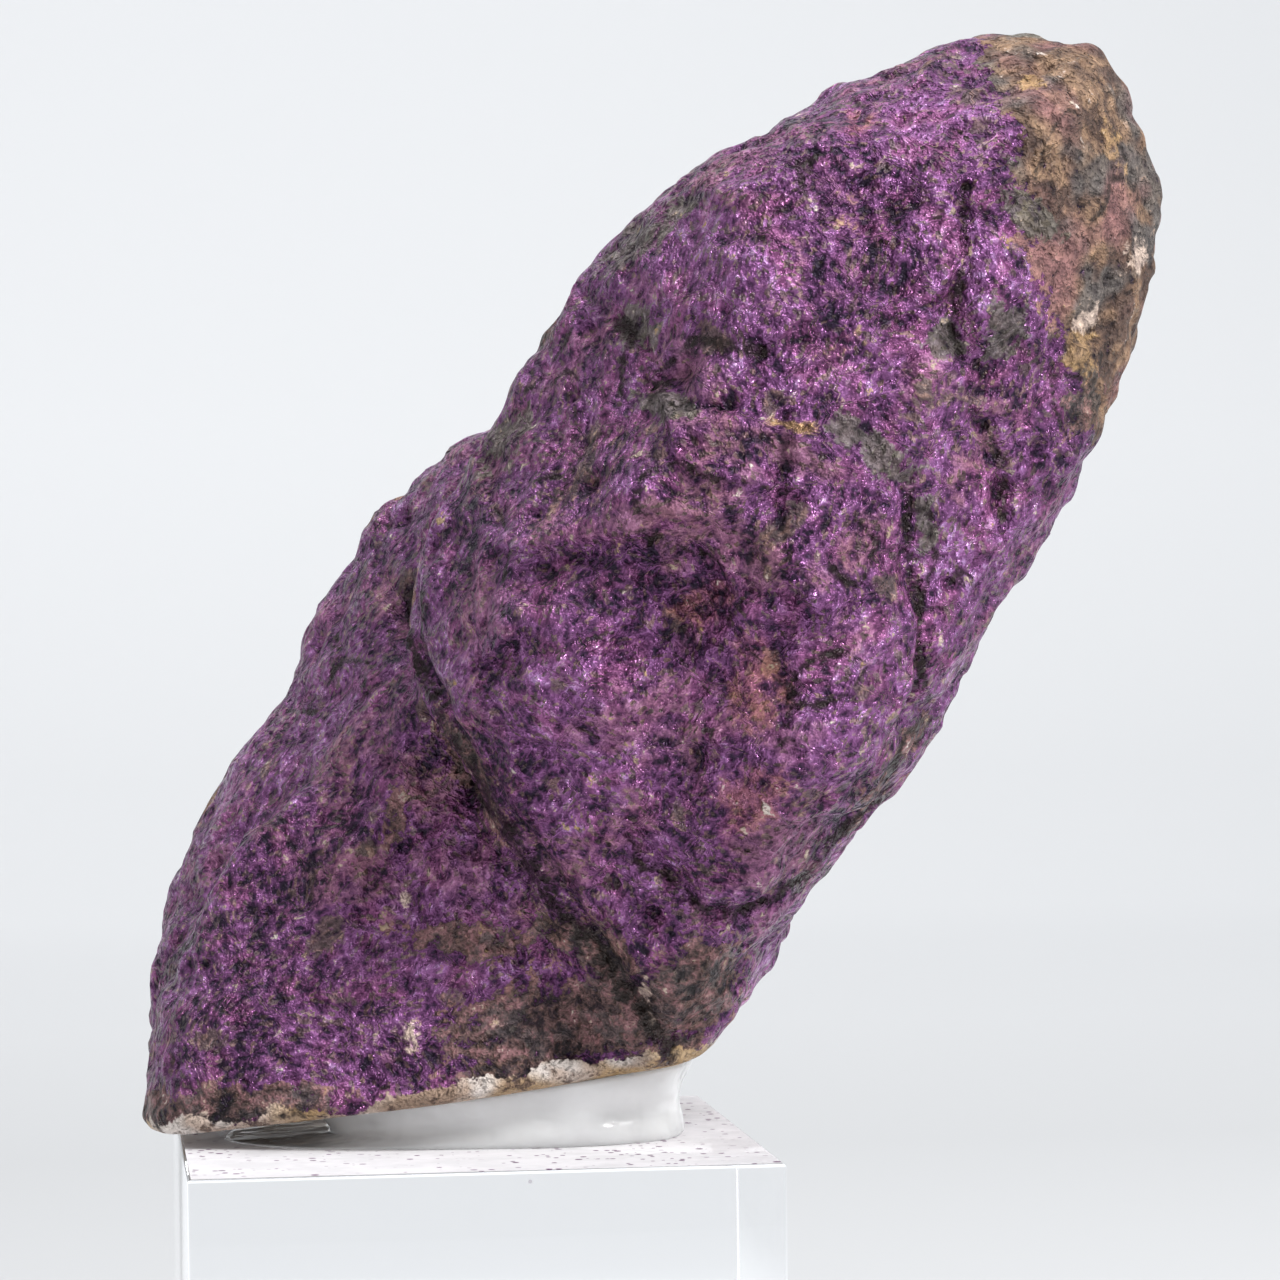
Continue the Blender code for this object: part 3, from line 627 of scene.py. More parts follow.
class Wiring:
    """Adds nodes to one tree and joins them, so that a material reads as a list of steps."""

    def __init__(self, tree: bpy.types.NodeTree) -> None:
        self.tree = tree

    def put(self, value: object, into: Socket) -> None:
        """Joins a socket to another, or sets a plain value on it."""
        if isinstance(value, bpy.types.NodeSocket):
            self.tree.links.new(value, into)
        elif value is not None:
            into.default_value = value

    def node(self, kind: str, inputs: dict | None = None, **settings: object) -> bpy.types.Node:
        """Adds a node of that kind, with its settings and its inputs' values or joins."""
        node = self.tree.nodes.new(kind)
        for name, value in settings.items():
            setattr(node, name, value)
        for name, value in (inputs or {}).items():
            self.put(value, node.inputs[name])
        return node

    def math(self, operation: str, a: object, b: object = None, c: object = None,
             clamp: bool = False) -> Socket:
        """Adds a Math node and gives its result."""
        values = {k: v for k, v in enumerate((a, b, c)) if v is not None}
        return self.node("ShaderNodeMath", values, operation=operation, use_clamp=clamp).outputs[0]

    def vector(self, operation: str, a: object, b: object = None, scale: object = None) -> bpy.types.Node:
        """Adds a Vector Math node and gives the node."""
        node = self.node("ShaderNodeVectorMath", {0: a, 1: b} if b is not None else {0: a},
                         operation=operation)
        if scale is not None:
            self.put(scale, node.inputs["Scale"])
        return node

    def remap(self, value: object, low: object, high: object, to_low: object = 0.0,
              to_high: object = 1.0) -> Socket:
        """Adds a smooth Map Range and gives its result."""
        return self.node("ShaderNodeMapRange", {
            "Value": value, "From Min": low, "From Max": high, "To Min": to_low, "To Max": to_high,
        }, interpolation_type="SMOOTHSTEP").outputs[0]

    def mix(self, factor: object, a: object, b: object, blend: str = "MIX") -> Socket:
        """Mixes two colours and gives the result."""
        node = self.node("ShaderNodeMix", data_type="RGBA", blend_type=blend)
        self.put(factor, node.inputs[0])
        for value, into in ((a, node.inputs[6]), (b, node.inputs[7])):
            self.put((*value, 1.0) if isinstance(value, tuple) else value, into)
        return node.outputs[2]

    def ramp(self, factor: Socket, stops: Sequence[tuple[float, Colour]]) -> Socket:
        """Adds a colour ramp with those stops and gives its colour."""
        node = self.node("ShaderNodeValToRGB", {"Fac": factor})
        elements = node.color_ramp.elements
        elements.remove(elements[1])
        elements[0].position = stops[0][0]
        for place, _ in stops[1:]:
            elements.new(place)
        for element, (_, colour) in zip(elements, stops):
            element.color = (*colour, 1.0)
        return node.outputs["Color"]

    def noise(self, where: Socket, size: float, detail: float = 3.0, rough: float = 0.55) -> Socket:
        """Adds solid noise with lumps of a size in the coordinates' unit and gives its value."""
        return self.node("ShaderNodeTexNoise", {
            "Vector": where, "Scale": 1.0 / size, "Detail": detail, "Roughness": rough,
        }).outputs["Fac"]

    def attribute(self, name: str) -> Socket:
        """Gives a vertex mask by its name."""
        return self.node("ShaderNodeAttribute", attribute_name=name).outputs["Fac"]

    def group(self, tree: bpy.types.NodeTree, inputs: dict) -> bpy.types.Node:
        """Places a node group with its values and gives the node."""
        node = self.node("ShaderNodeGroup", node_tree=tree)
        for name, value in inputs.items():
            self.put(value, node.inputs[name])
        return node


def new_group(name: str, inputs: dict[str, str | float], outputs: Sequence[str]) -> tuple[
        bpy.types.NodeTree, Wiring, bpy.types.NodeSocket, bpy.types.NodeSocket]:
    """Starts a node group.

    Args:
        name: the group's name.
        inputs: for each input its first value, or "vector" for a place or a normal.
        outputs: the names of its outputs: the one called Normal is a vector, the others plain values.

    Returns:
        The tree, its wiring, and the sockets of its input node and of its output node.
    """
    tree = bpy.data.node_groups.new(name, "ShaderNodeTree")
    for label, value in inputs.items():
        kind = "NodeSocketVector" if value == "vector" else "NodeSocketFloat"
        socket = tree.interface.new_socket(label, in_out="INPUT", socket_type=kind)
        if value != "vector":
            socket.default_value = value
    for label in outputs:
        kind = "NodeSocketVector" if label == "Normal" else "NodeSocketFloat"
        tree.interface.new_socket(label, in_out="OUTPUT", socket_type=kind)
    wiring = Wiring(tree)
    return tree, wiring, wiring.node("NodeGroupInput").outputs, wiring.node("NodeGroupOutput").inputs


class Effects:
    """The shared node groups, each built once."""

    def __init__(self) -> None:
        self.flakes = self.make_flakes()
        self.mottle = self.make_mottle()
        self.specks = self.make_specks()

    def make_flakes(self) -> bpy.types.NodeTree:
        """Flat flakes: small cells that each lean the normal their own way and have a tone of their own."""
        tree, w, given, out = new_group(
            "flakes", {"Place": "vector", "Normal": "vector", "Size": 0.2, "Lean": 0.5}, ("Tone", "Normal"))
        step = w.math("DIVIDE", 1.0, given["Size"])
        flake = w.node("ShaderNodeTexVoronoi", {"Vector": given["Place"], "Scale": step})
        tilt = w.vector("SUBTRACT", flake.outputs["Color"], (0.5, 0.5, 0.5)).outputs[0]
        tilt = w.vector("SCALE", tilt, scale=given["Lean"]).outputs[0]
        leaned = w.vector("ADD", given["Normal"], tilt).outputs[0]
        w.put(w.node("ShaderNodeSeparateColor", {"Color": flake.outputs["Color"]}).outputs[1], out["Tone"])
        w.put(w.vector("NORMALIZE", leaned).outputs[0], out["Normal"])
        return tree

    def make_mottle(self) -> bpy.types.NodeTree:
        """Cloudy patches: detailed noise, cut softly so that about a share of the surface is covered."""
        tree, w, given, out = new_group(
            "mottle", {"Place": "vector", "Size": 3.0, "Cut": 0.55, "Soft": 0.06}, ("Mask",))
        step = w.math("DIVIDE", 1.0, given["Size"])
        cloud = w.node("ShaderNodeTexNoise", {
            "Vector": given["Place"], "Scale": step, "Detail": 5.0, "Roughness": 0.62}).outputs["Fac"]
        low = w.math("SUBTRACT", given["Cut"], given["Soft"])
        high = w.math("ADD", given["Cut"], given["Soft"])
        w.put(w.remap(cloud, low, high), out["Mask"])
        return tree

    def make_specks(self) -> bpy.types.NodeTree:
        """Dust: a dot at the middle of a share of the small cells, each dot of its own size."""
        tree, w, given, out = new_group(
            "specks", {"Place": "vector", "Spacing": 1.0, "Dot": 0.12, "Share": 0.4}, ("Mask",))
        step = w.math("DIVIDE", 1.0, given["Spacing"])
        cell = w.node("ShaderNodeTexVoronoi", {"Vector": given["Place"], "Scale": step})
        parts = w.node("ShaderNodeSeparateColor", {"Color": cell.outputs["Color"]}).outputs
        kept = w.math("LESS_THAN", parts[0], given["Share"])
        radius = w.math("MULTIPLY", w.math("DIVIDE", given["Dot"], given["Spacing"]), parts[1])
        dot = w.math("LESS_THAN", cell.outputs["Distance"], radius)
        w.put(w.math("MULTIPLY", kept, dot), out["Mask"])
        return tree


def start_material(name: str) -> tuple[bpy.types.Material, Wiring, bpy.types.Node, Socket]:
    """Starts a material and gives it, its wiring, its shader and the object's place in millimetres."""
    material = bpy.data.materials.new(name)
    material.use_nodes = True
    wiring = Wiring(material.node_tree)
    shader = material.node_tree.nodes["Principled BSDF"]
    coordinates = wiring.node("ShaderNodeTexCoord")
    place = wiring.node("ShaderNodeMapping", {
        "Vector": coordinates.outputs["Object"], "Scale": (1000.0, 1000.0, 1000.0)}).outputs[0]
    return material, wiring, shader, place


@dataclass(frozen=True)
class PurpuriteFinish:
    """The stone's colours, in linear light, and the scales of its flakes in millimetres."""

    purples: tuple[tuple[float, Colour], ...] = (
        (0.0, (0.012, 0.006, 0.017)), (0.18, (0.030, 0.012, 0.038)), (0.34, (0.100, 0.032, 0.100)),
        (0.56, (0.186, 0.064, 0.180)), (0.80, (0.300, 0.118, 0.305)), (1.0, (0.490, 0.270, 0.540)),
    )
    shades: tuple[tuple[float, Colour], ...] = (
        (0.0, (0.16, 0.14, 0.17)), (0.30, (0.60, 0.57, 0.60)), (0.60, (1.0, 1.0, 1.0)),
        (1.0, (1.6, 1.6, 1.6)),
    )
    blush: Colour = (1.22, 1.06, 0.94)
    skin: Colour = (0.270, 0.098, 0.215)
    skin_brown: Colour = (0.235, 0.110, 0.110)
    brown: Colour = (0.110, 0.066, 0.050)
    olive: Colour = (0.078, 0.072, 0.052)
    tan: Colour = (0.260, 0.160, 0.100)
    grey: Colour = (0.112, 0.100, 0.094)
    lode_and_sheen: Colour = (0.125, 0.114, 0.098)
    ochre: Colour = (0.420, 0.260, 0.100)
    rust: Colour = (0.330, 0.125, 0.100)
    dark: Colour = (0.018, 0.011, 0.009)
    cream: Colour = (0.540, 0.420, 0.350)
    white: Colour = (0.700, 0.620, 0.570)
    crumb: float = 0.80
    crumb_detail: float = 3.0
    crumb_rough: float = 0.70
    crumb_height: float = 0.85
    streak: float = 0.24
    streak_height: float = 0.12
    flake: float = 0.17
    flake_lean: float = 0.95
    rock_weight: float = 2.1
    streak_weight: float = 0.60
    flake_weight: float = 0.34
    # The masks' pull on the tone: broad clouds and ridges lift it, the placed highlight and deep patches are
    # painted highlight and painted shade, and the hollows' mask is painted shade.
    mask_weights: tuple[tuple[str, float], ...] = (
        ("broad", 0.30), ("highlight_and_bright_tone", 0.15), ("deep", -0.17), ("painted_hollow_shade", -0.26), ("ridge", 0.08),
    )
    tone_drop: float = 1.12
    metallic: float = 0.55
    specular: float = 0.35

    def make(self, effects: Effects) -> bpy.types.Material:
        """Builds the material: flaky purple whose tone carries the painted highlights and painted shade, then
        skin, brown, rind, matrix, pale base and dark cuts.
        """
        material, w, shader, place = start_material("purpurite")
        fibre = w.node("ShaderNodeAttribute", attribute_name="fibre").outputs["Vector"]
        rock = w.noise(place, self.crumb, self.crumb_detail, self.crumb_rough)
        streak = w.noise(fibre, self.streak, 0.0)
        height = w.math("MULTIPLY", streak, self.streak_height)
        height = w.math("MULTIPLY_ADD", rock, self.crumb_height, height)
        bump = w.node("ShaderNodeBump", {"Height": height, "Distance": MM, "Strength": 1.0})
        flakes = w.group(effects.flakes, {
            "Place": fibre, "Normal": bump.outputs[0], "Size": self.flake,
            "Lean": self.flake_lean}).outputs
        ragged = w.math("MULTIPLY_ADD", rock, 2.6, -1.3)

        def patch(name: str, low: float = 0.42, high: float = 0.58, most: float = 1.0) -> Socket:
            """Gives a vertex mask with a ragged edge."""
            return w.remap(w.math("ADD", w.attribute(name), ragged), low, high, 0.0, most)

        vary, vary_fine = w.attribute("vary"), w.attribute("vary_fine")
        broad = w.attribute("broad")
        tone = w.math("MULTIPLY", streak, self.streak_weight)
        tone = w.math("MULTIPLY_ADD", rock, self.rock_weight, tone)
        tone = w.math("MULTIPLY_ADD", flakes["Tone"], self.flake_weight, tone)
        for name, weight in self.mask_weights:
            tone = w.math("MULTIPLY_ADD", w.attribute(name), weight, tone)
        tone = w.math("SUBTRACT", tone, self.tone_drop, clamp=True)
        colour = w.ramp(tone, self.purples)
        redder = w.mix(1.0, colour, self.blush, "MULTIPLY")
        colour = w.mix(w.remap(vary_fine, 0.45, 0.75, 0.0, 0.75), colour, redder)
        speck = w.remap(w.math("MULTIPLY_ADD", vary, 0.22, flakes["Tone"]), 0.86, 1.02, 0.0, 0.75)
        shade = w.ramp(tone, self.shades)

        def veil(mask: Socket, under: Socket, over: Socket | Colour) -> Socket:
            """Lays a colour over another by a mask, darkened and lightened by the tone, which holds the
            flakes' and crumbs' own tone and the painted highlights and shade.
            """
            return w.mix(mask, under, w.mix(1.0, over, shade, "MULTIPLY"))

        skin_mask = patch("skin", 0.35, 1.05, 0.75)
        colour = veil(skin_mask, colour, w.mix(vary, self.skin, self.skin_brown))
        brown_mask = w.math("MAXIMUM", patch("brown", 0.40, 0.75, 0.80), speck)
        brown = w.mix(vary_fine, self.brown, self.olive)
        brown = w.mix(w.remap(streak, 0.50, 0.70, 0.0, 0.6), brown, self.tan)
        colour = veil(brown_mask, colour, brown)
        rust_mask = patch("rust", 0.45, 1.25, 0.55)
        colour = veil(rust_mask, colour, self.rust)

        rind_mask = patch("rind")
        rind = w.mix(w.remap(vary_fine, 0.35, 0.65), self.brown, self.tan)
        rind = w.mix(w.remap(vary, 0.50, 0.75, 0.0, 0.85), rind, self.grey)
        rind = w.mix(w.remap(broad, 0.50, 0.75, 0.0, 0.8), rind, self.skin_brown)
        colour = veil(rind_mask, colour, rind)
        matrix_mask = patch("matrix", most=0.92)
        matrix = w.mix(w.remap(rock, 0.40, 0.52), self.dark, self.brown)
        matrix = w.mix(w.remap(vary_fine, 0.45, 0.70, 0.0, 0.5), matrix, self.grey)
        matrix = w.mix(w.remap(rock, 0.50, 0.62, 0.0, 0.7), matrix, self.skin_brown)
        colour = veil(matrix_mask, colour, matrix)
        # Grey-green lode, and the painted grey sheen along the slab's left edge.
        lode_and_sheen_mask = patch("lode_and_sheen", 0.40, 0.70, 0.85)
        colour = veil(lode_and_sheen_mask, colour, w.mix(w.remap(streak, 0.35, 0.65), self.olive, self.lode_and_sheen))
        ochre_mask = patch("ochre", 0.45, 0.95, 0.85)
        colour = veil(ochre_mask, colour, w.mix(vary_fine, self.ochre, self.tan))
        colour = veil(patch("pale", 0.45, 0.90, 0.85), colour, self.cream)

        base_mask = patch("base", 0.35, 0.60)
        base = w.mix(w.remap(vary_fine, 0.30, 0.60), self.white, self.cream)
        base = w.mix(w.remap(vary, 0.45, 0.70, 0.0, 0.75), base, self.tan)
        base = w.mix(w.remap(broad, 0.55, 0.75, 0.0, 0.75), base, self.ochre)
        base = w.mix(w.remap(rock, 0.38, 0.47, 0.85, 0.0), base, self.brown)
        colour = w.mix(base_mask, colour, base)
        rough_line = w.math("MULTIPLY_ADD", ragged, 0.16, w.attribute("cut"))
        line_mask = w.remap(rough_line, 0.02, 0.16, 0.85, 0.0)
        colour = w.mix(line_mask, colour, self.dark)
        w.put(colour, shader.inputs["Base Color"])

        plain = rind_mask
        for mask in (matrix_mask, base_mask, skin_mask, brown_mask, lode_and_sheen_mask):
            plain = w.math("MAXIMUM", plain, mask, clamp=True)
        w.put(w.remap(plain, 0.0, 1.0, self.metallic, 0.0), shader.inputs["Metallic"])
        rough = w.remap(flakes["Tone"], 0.2, 0.9, 0.50, 0.20)
        w.put(w.math("MULTIPLY_ADD", plain, 0.25, rough), shader.inputs["Roughness"])
        shader.inputs["Specular IOR Level"].default_value = self.specular
        w.put(flakes["Normal"], shader.inputs["Normal"])
        return material


@dataclass
class Specimen:
    """The stone: a fine surface with its relief, its masks and its finish."""

    points_round: int = 320
    rings: int = 300
    creases: tuple[Cut, ...] = (
        Cut(((14.6, 45.8), (14.5, 46.9), (15.5, 48.3), (15.4, 50.1), (14.5, 51.6), (14.4, 53.9),
             (14.5, 56.0)), 0.40, 1.3),
        Cut(((4.0, 51.4), (6.0, 51.7), (7.6, 52.0), (9.4, 52.3), (10.8, 51.9), (11.9, 50.7),
             (12.2, 49.0)), -0.40, 1.2),
        Cut(((9.0, 58.0), (9.7, 56.4), (10.1, 55.0), (11.9, 54.4), (14.5, 54.0)), -0.30, 0.9),
        Cut(((8.8, 49.0), (9.7, 47.2), (11.2, 45.5)), 0.25, 0.8),
        Cut(((6.0, 44.0), (7.4, 42.6), (9.6, 39.6), (12.0, 36.2)), 0.22, 0.9),
        Cut(((19.2, 66.8), (18.6, 64.0), (19.0, 61.2)), 0.35, 1.0),
        Cut(((17.4, 70.8), (18.0, 68.2), (17.4, 66.2)), 0.30, 0.9),
        Cut(((5.6, 63.0), (8.0, 60.6), (9.6, 58.0)), 0.35, 1.1),
        Cut(((1.2, 55.5), (2.6, 52.0), (2.2, 49.0)), 0.30, 1.0),
    )
    # On the sides and back the highlight and deep tints are only random lighter and darker tone, not placed
    # light.
    side_tints: tuple[tuple[Tint, float, float], ...] = (
        (Tint.RIND, 11.0, 0.10), (Tint.SKIN, 6.0, 0.12), (Tint.LODE_AND_SHEEN, 4.0, 0.26),
        (Tint.OCHRE, 3.5, 0.30), (Tint.HIGHLIGHT_AND_BRIGHT_TONE, 5.0, 0.15), (Tint.SHADE_AND_DARK_TONE, 6.0, 0.15),
        (Tint.RUST, 5.0, 0.22), (Tint.MATRIX, 8.0, 0.20),
    )
    crust_heights: tuple[float, ...] = (52.0, 55.6, 59.0, 62.5, 68.8, 72.6)
    crust_edges: tuple[float, ...] = (29.5, 28.2, 26.9, 25.4, 24.3, 23.4)
    fibre_cell: float = 2.7
    fibre_press: float = 0.42
    form: StoneForm = field(default_factory=StoneForm)
    core: RayCore = field(default_factory=RayCore)
    finish: PurpuriteFinish = field(default_factory=PurpuriteFinish)

    def fine_relief(self, points: Array, normals: Array) -> Array:
        """Gives the small grain, chips, pits and creases that the CAD solid leaves out."""
        total = 0.22 * Noise.swell(points, 1.3, 21) + 0.20 * Noise.chips(points, 1.7, 22)
        total += 0.10 * Noise.swell(points, 0.7, 26)
        total -= 0.45 * Noise.pits(points, 2.3, 27, 0.35) + 0.25 * Noise.pits(points, 1.3, 28, 0.25)
        x, z = points[:, 0], points[:, 2]
        wander = 0.5 * Noise.swell(points, 1.6, 29)
        front = smooth_step(-normals[:, 1], 0.05, 0.6)
        for crease in self.creases:
            away, side = route_distance(crease.route, x + wander, z - wander)
            fall = smooth_step(side * away, -0.2, 0.2) * np.exp(-(away / crease.half) ** 2)
            total -= front * crease.depth * fall
        return total * smooth_step(self.form.height_over_base(points), 0.0, 0.8)

    def surface(self) -> tuple[Array, Array, Array]:
        """Works out the surface as a function of the turn about the core line and the way along it.

        Returns:
            The points, the plain form's outward normals, and the relief's height.
        """
        value = self.form.field()
        points = self.core.surface(value, *self.core.rays(self.points_round, self.rings))
        slope = np.stack([value(points + 0.25 * way) - value(points - 0.25 * way) for way in np.eye(3)], 1)
        normals = slope / np.linalg.norm(slope, axis=1, keepdims=True)
        height = self.form.relief(points, normals) + self.fine_relief(points, normals)
        return points + height[:, None] * normals, normals, height

    def hollows(self, height: Array) -> Array:
        """Gives how far the relief lies below its mean over nearby rows and columns of the grid."""
        grid = height[1:-1].reshape(self.rings, self.points_round)
        mean = np.zeros_like(grid)
        reach = 6
        for k in range(-reach, reach + 1):
            mean += np.roll(grid, k, 1) + grid[np.clip(np.arange(self.rings) + k, 0, self.rings - 1)]
        mean /= 2 * (2 * reach + 1)
        return np.concatenate([[0.0], (mean - grid).ravel(), [0.0]])

    def tint_masks(self, points: Array, normals: Array) -> dict[str, Array]:
        """Works out the masks of all tints: listed patches in front, noise everywhere else.

        Args:
            points: the surface's points in millimetres.
            normals: the plain form's normals there.

        Returns:
            A value from 0 to 1 for each point, under each tint's name.
        """
        x, z = points[:, 0], points[:, 2]
        front = smooth_step(-normals[:, 1], -0.05, 0.35)
        bend = [Noise.swell(points, 1.8, 31 + k) + 0.5 * Noise.swell(points, 0.8, 36 + k) for k in (0, 1)]
        masks = {tint.value: np.zeros(len(points)) for tint in Tint}
        for patch in FRONT_PATCHES:
            c, s = math.cos(math.radians(patch.turn)), math.sin(math.radians(patch.turn))
            dx, dz = x - patch.x + 0.7 * bend[0], z - patch.z + 0.7 * bend[1]
            away = np.hypot((dx * c + dz * s) / patch.long, (-dx * s + dz * c) / patch.wide)
            spot = patch.strength * (1.0 - smooth_step(away, 0.30, 1.60)) * front
            masks[patch.tint.value] = np.maximum(masks[patch.tint.value], spot)
        aside = 1.0 - front
        for seed, (tint, size, low) in enumerate(self.side_tints):
            cloud = Noise.swell(points, size, 50 + seed) + 0.2 * bend[0]
            masks[tint.value] = np.maximum(masks[tint.value], aside * smooth_step(cloud, low, low + 0.2))
        skin = 0.75 * smooth_step(Noise.cloud(points, 4.5, 85), 0.50, 0.80)
        masks[Tint.SKIN.value] = np.maximum(masks[Tint.SKIN.value], skin)
        edge = np.interp(z, self.crust_heights, self.crust_edges)
        crust = smooth_step(x - edge + 1.2 * bend[0], -0.9, 0.9) * smooth_step(z, 52.0, 56.0)
        masks[Tint.RIND.value] = np.maximum(masks[Tint.RIND.value], crust)
        # A dark band just above the base: partly the stone's dark matrix, partly painted shade under the
        # stone.
        over = self.form.height_over_base(points) - 1.6 * Noise.swell(points, 4.0, 67)
        base_matrix_and_shade = 0.9 * (1.0 - smooth_step(over, 1.0, 2.6))
        base_matrix_and_shade *= smooth_step(Noise.swell(points, 5.0, 68), -0.25, 0.0)
        masks[Tint.MATRIX.value] = np.maximum(masks[Tint.MATRIX.value], base_matrix_and_shade)
        return masks

    def fibre_place(self, points: Array, normals: Array) -> Array:
        """Gives each point's place pressed along the fibres, which run their own way over the surface
        in each cell, so that a noise read there is streaked along them.

        Args:
            points: the surface's points in millimetres.
            normals: the plain form's normals there.

        Returns:
            Three numbers for each point.
        """
        size = self.fibre_cell
        wander = np.stack([Noise.swell(points, 3.0, 90 + k) for k in (0, 1, 2)], 1)
        nearest = np.full(len(points), 9.0)
        middle, way = np.zeros_like(points), np.zeros_like(points)
        for v, key in Noise.near_cells(points / size + 0.5 * wander, 89):
            away = (v * v).sum(1)
            closer = (away < nearest)[:, None]
            nearest = np.minimum(nearest, away)
            middle = np.where(closer, v * size, middle)
            way = np.where(closer, Noise.ways(89)[key % 256], way)
        way -= (way * normals).sum(1, keepdims=True) * normals
        way /= np.linalg.norm(way, axis=1, keepdims=True) + 1e-6
        return points - self.fibre_press * (middle * way).sum(1, keepdims=True) * way

    def cloud_masks(self, points: Array) -> dict[str, Array]:
        """Works out the soft clouds that vary the colours all over the stone."""
        return {
            "broad": Noise.cloud(points, 6.0, 81),
            "vary": Noise.cloud(points, 3.2, 82),
            "vary_fine": Noise.cloud(points, 1.5, 83, 2),
            "brown": 0.8 * smooth_step(Noise.cloud(points, 2.6, 84, 2), 0.60, 0.95),
        }

    def base_mask(self, points: Array) -> Array:
        """Gives 1 on the pale broken end and its ragged rim, about a millimetre high."""
        rim = 0.50 + 0.9 * Noise.swell(points, 3.0, 61) + 0.4 * Noise.swell(points, 1.0, 62)
        rim += 0.5 * smooth_step(points[:, 0], -4.0, 4.0)
        return 1.0 - smooth_step(self.form.height_over_base(points) - rim, -0.35, 0.35)

    def cut_distance(self, points: Array, normals: Array) -> Array:
        """Measures how near the dark cracks are: the form's cuts and the creases in front, and a net
        of cell borders that is let in here and there all over.

        Args:
            points: the surface's points in millimetres.
            normals: the plain form's normals there.

        Returns:
            A value for each point: 0 on a crack and more the further away it is.
        """
        wander = 1.3 * Noise.swell(points, 3.0, 41)
        behind = 2.0 * smooth_step(normals[:, 1], -0.15, 0.15)
        hidden = 2.0 * smooth_step(Noise.swell(points, 7.0, 63), -0.15, 0.15)
        nearest = Noise.veins(points, 6.5, 64) + hidden
        for cut in self.form.cuts:
            away, _ = route_distance(cut.route, points[:, 0] + wander, points[:, 2] - wander)
            nearest = np.minimum(nearest, 0.22 * away / cut.half + behind)
        for crease in self.creases:
            away, _ = route_distance(crease.route, points[:, 0] + 0.4 * wander,
                                     points[:, 2] - 0.4 * wander)
            nearest = np.minimum(nearest, 1.2 * away + 0.03 + behind)
        return nearest

    def add_masks(self, piece: bpy.types.Object, points: Array, normals: Array, height: Array) -> None:
        """Stores the tints, clouds, hollows for the painted shade, ridges, rim, cracks and fibres that the
        finish reads.

        Args:
            piece: the stone's object.
            points: the surface's points in millimetres.
            normals: the plain form's normals there.
            height: the relief's height there.
        """
        for name, values in (self.tint_masks(points, normals) | self.cloud_masks(points)).items():
            add_mask(piece, name, values)
        hollow = self.hollows(height)
        # Painted shade: the tone is lowered where the relief lies below its surroundings; the ridge mask
        # lightens where it stands above them.
        add_mask(piece, "painted_hollow_shade", smooth_step(hollow, 0.02, 0.40))
        add_mask(piece, "ridge", smooth_step(-hollow, 0.02, 0.35))
        add_mask(piece, "base", self.base_mask(points))
        add_mask(piece, "cut", self.cut_distance(points, normals))
        fibre = piece.data.attributes.new("fibre", "FLOAT_VECTOR", "POINT")
        fibre.data.foreach_set("vector", self.fibre_place(points, normals).astype(np.float32).ravel())

    def build(self, effects: Effects) -> bpy.types.Object:
        """Makes the piece in place of the CAD stone."""
        points, normals, height = self.surface()
        piece = mesh_piece("stone", to_world(points), ring_faces(self.points_round, self.rings))
        self.add_masks(piece, points, normals, height)
        piece.data.materials.append(self.finish.make(effects))
        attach(piece, "root")
        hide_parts("specimen")
        return piece


@dataclass(frozen=True)
class PuttyFinish:
    """Milky putty: light soaks into it, warm grey-white, wet gloss."""

    colour: Colour = (0.99, 0.985, 0.975)
    cloudy: Colour = (0.97, 0.96, 0.945)
    speck: Colour = (0.25, 0.17, 0.24)
    roughness: float = 0.12
    ior: float = 1.4
    coat: float = 0.6
    coat_roughness: float = 0.05
    soak: float = 3.0

    def make(self, effects: Effects) -> bpy.types.Material:
        """Builds the material: faint clouds in a translucent white with a soft wavy bump."""
        material, w, shader, place = start_material("putty")
        cloud = w.group(effects.mottle, {"Place": place, "Size": 3.0, "Cut": 0.52, "Soft": 0.2}).outputs[0]
        specks = w.group(effects.specks, {
            "Place": place, "Spacing": 1.4, "Dot": 0.18, "Share": 0.2}).outputs[0]
        colour = w.mix(cloud, self.colour, self.cloudy)
        w.put(w.mix(w.math("MULTIPLY", specks, 0.4), colour, self.speck), shader.inputs["Base Color"])
        w.put(w.remap(cloud, 0.0, 1.0, self.roughness, self.roughness + 0.15), shader.inputs["Roughness"])
        shader.inputs["IOR"].default_value = self.ior
        shader.inputs["Coat Weight"].default_value = self.coat
        shader.inputs["Coat Roughness"].default_value = self.coat_roughness
        shader.inputs["Subsurface Weight"].default_value = 1.0
        shader.inputs["Subsurface Radius"].default_value = (1.0, 1.0, 1.0)
        shader.inputs["Subsurface Scale"].default_value = self.soak * MM
        bump = w.node("ShaderNodeBump", {"Height": w.noise(place, 2.4, 2.0), "Distance": 0.5 * MM})
        w.put(bump.outputs[0], shader.inputs["Normal"])
        return material


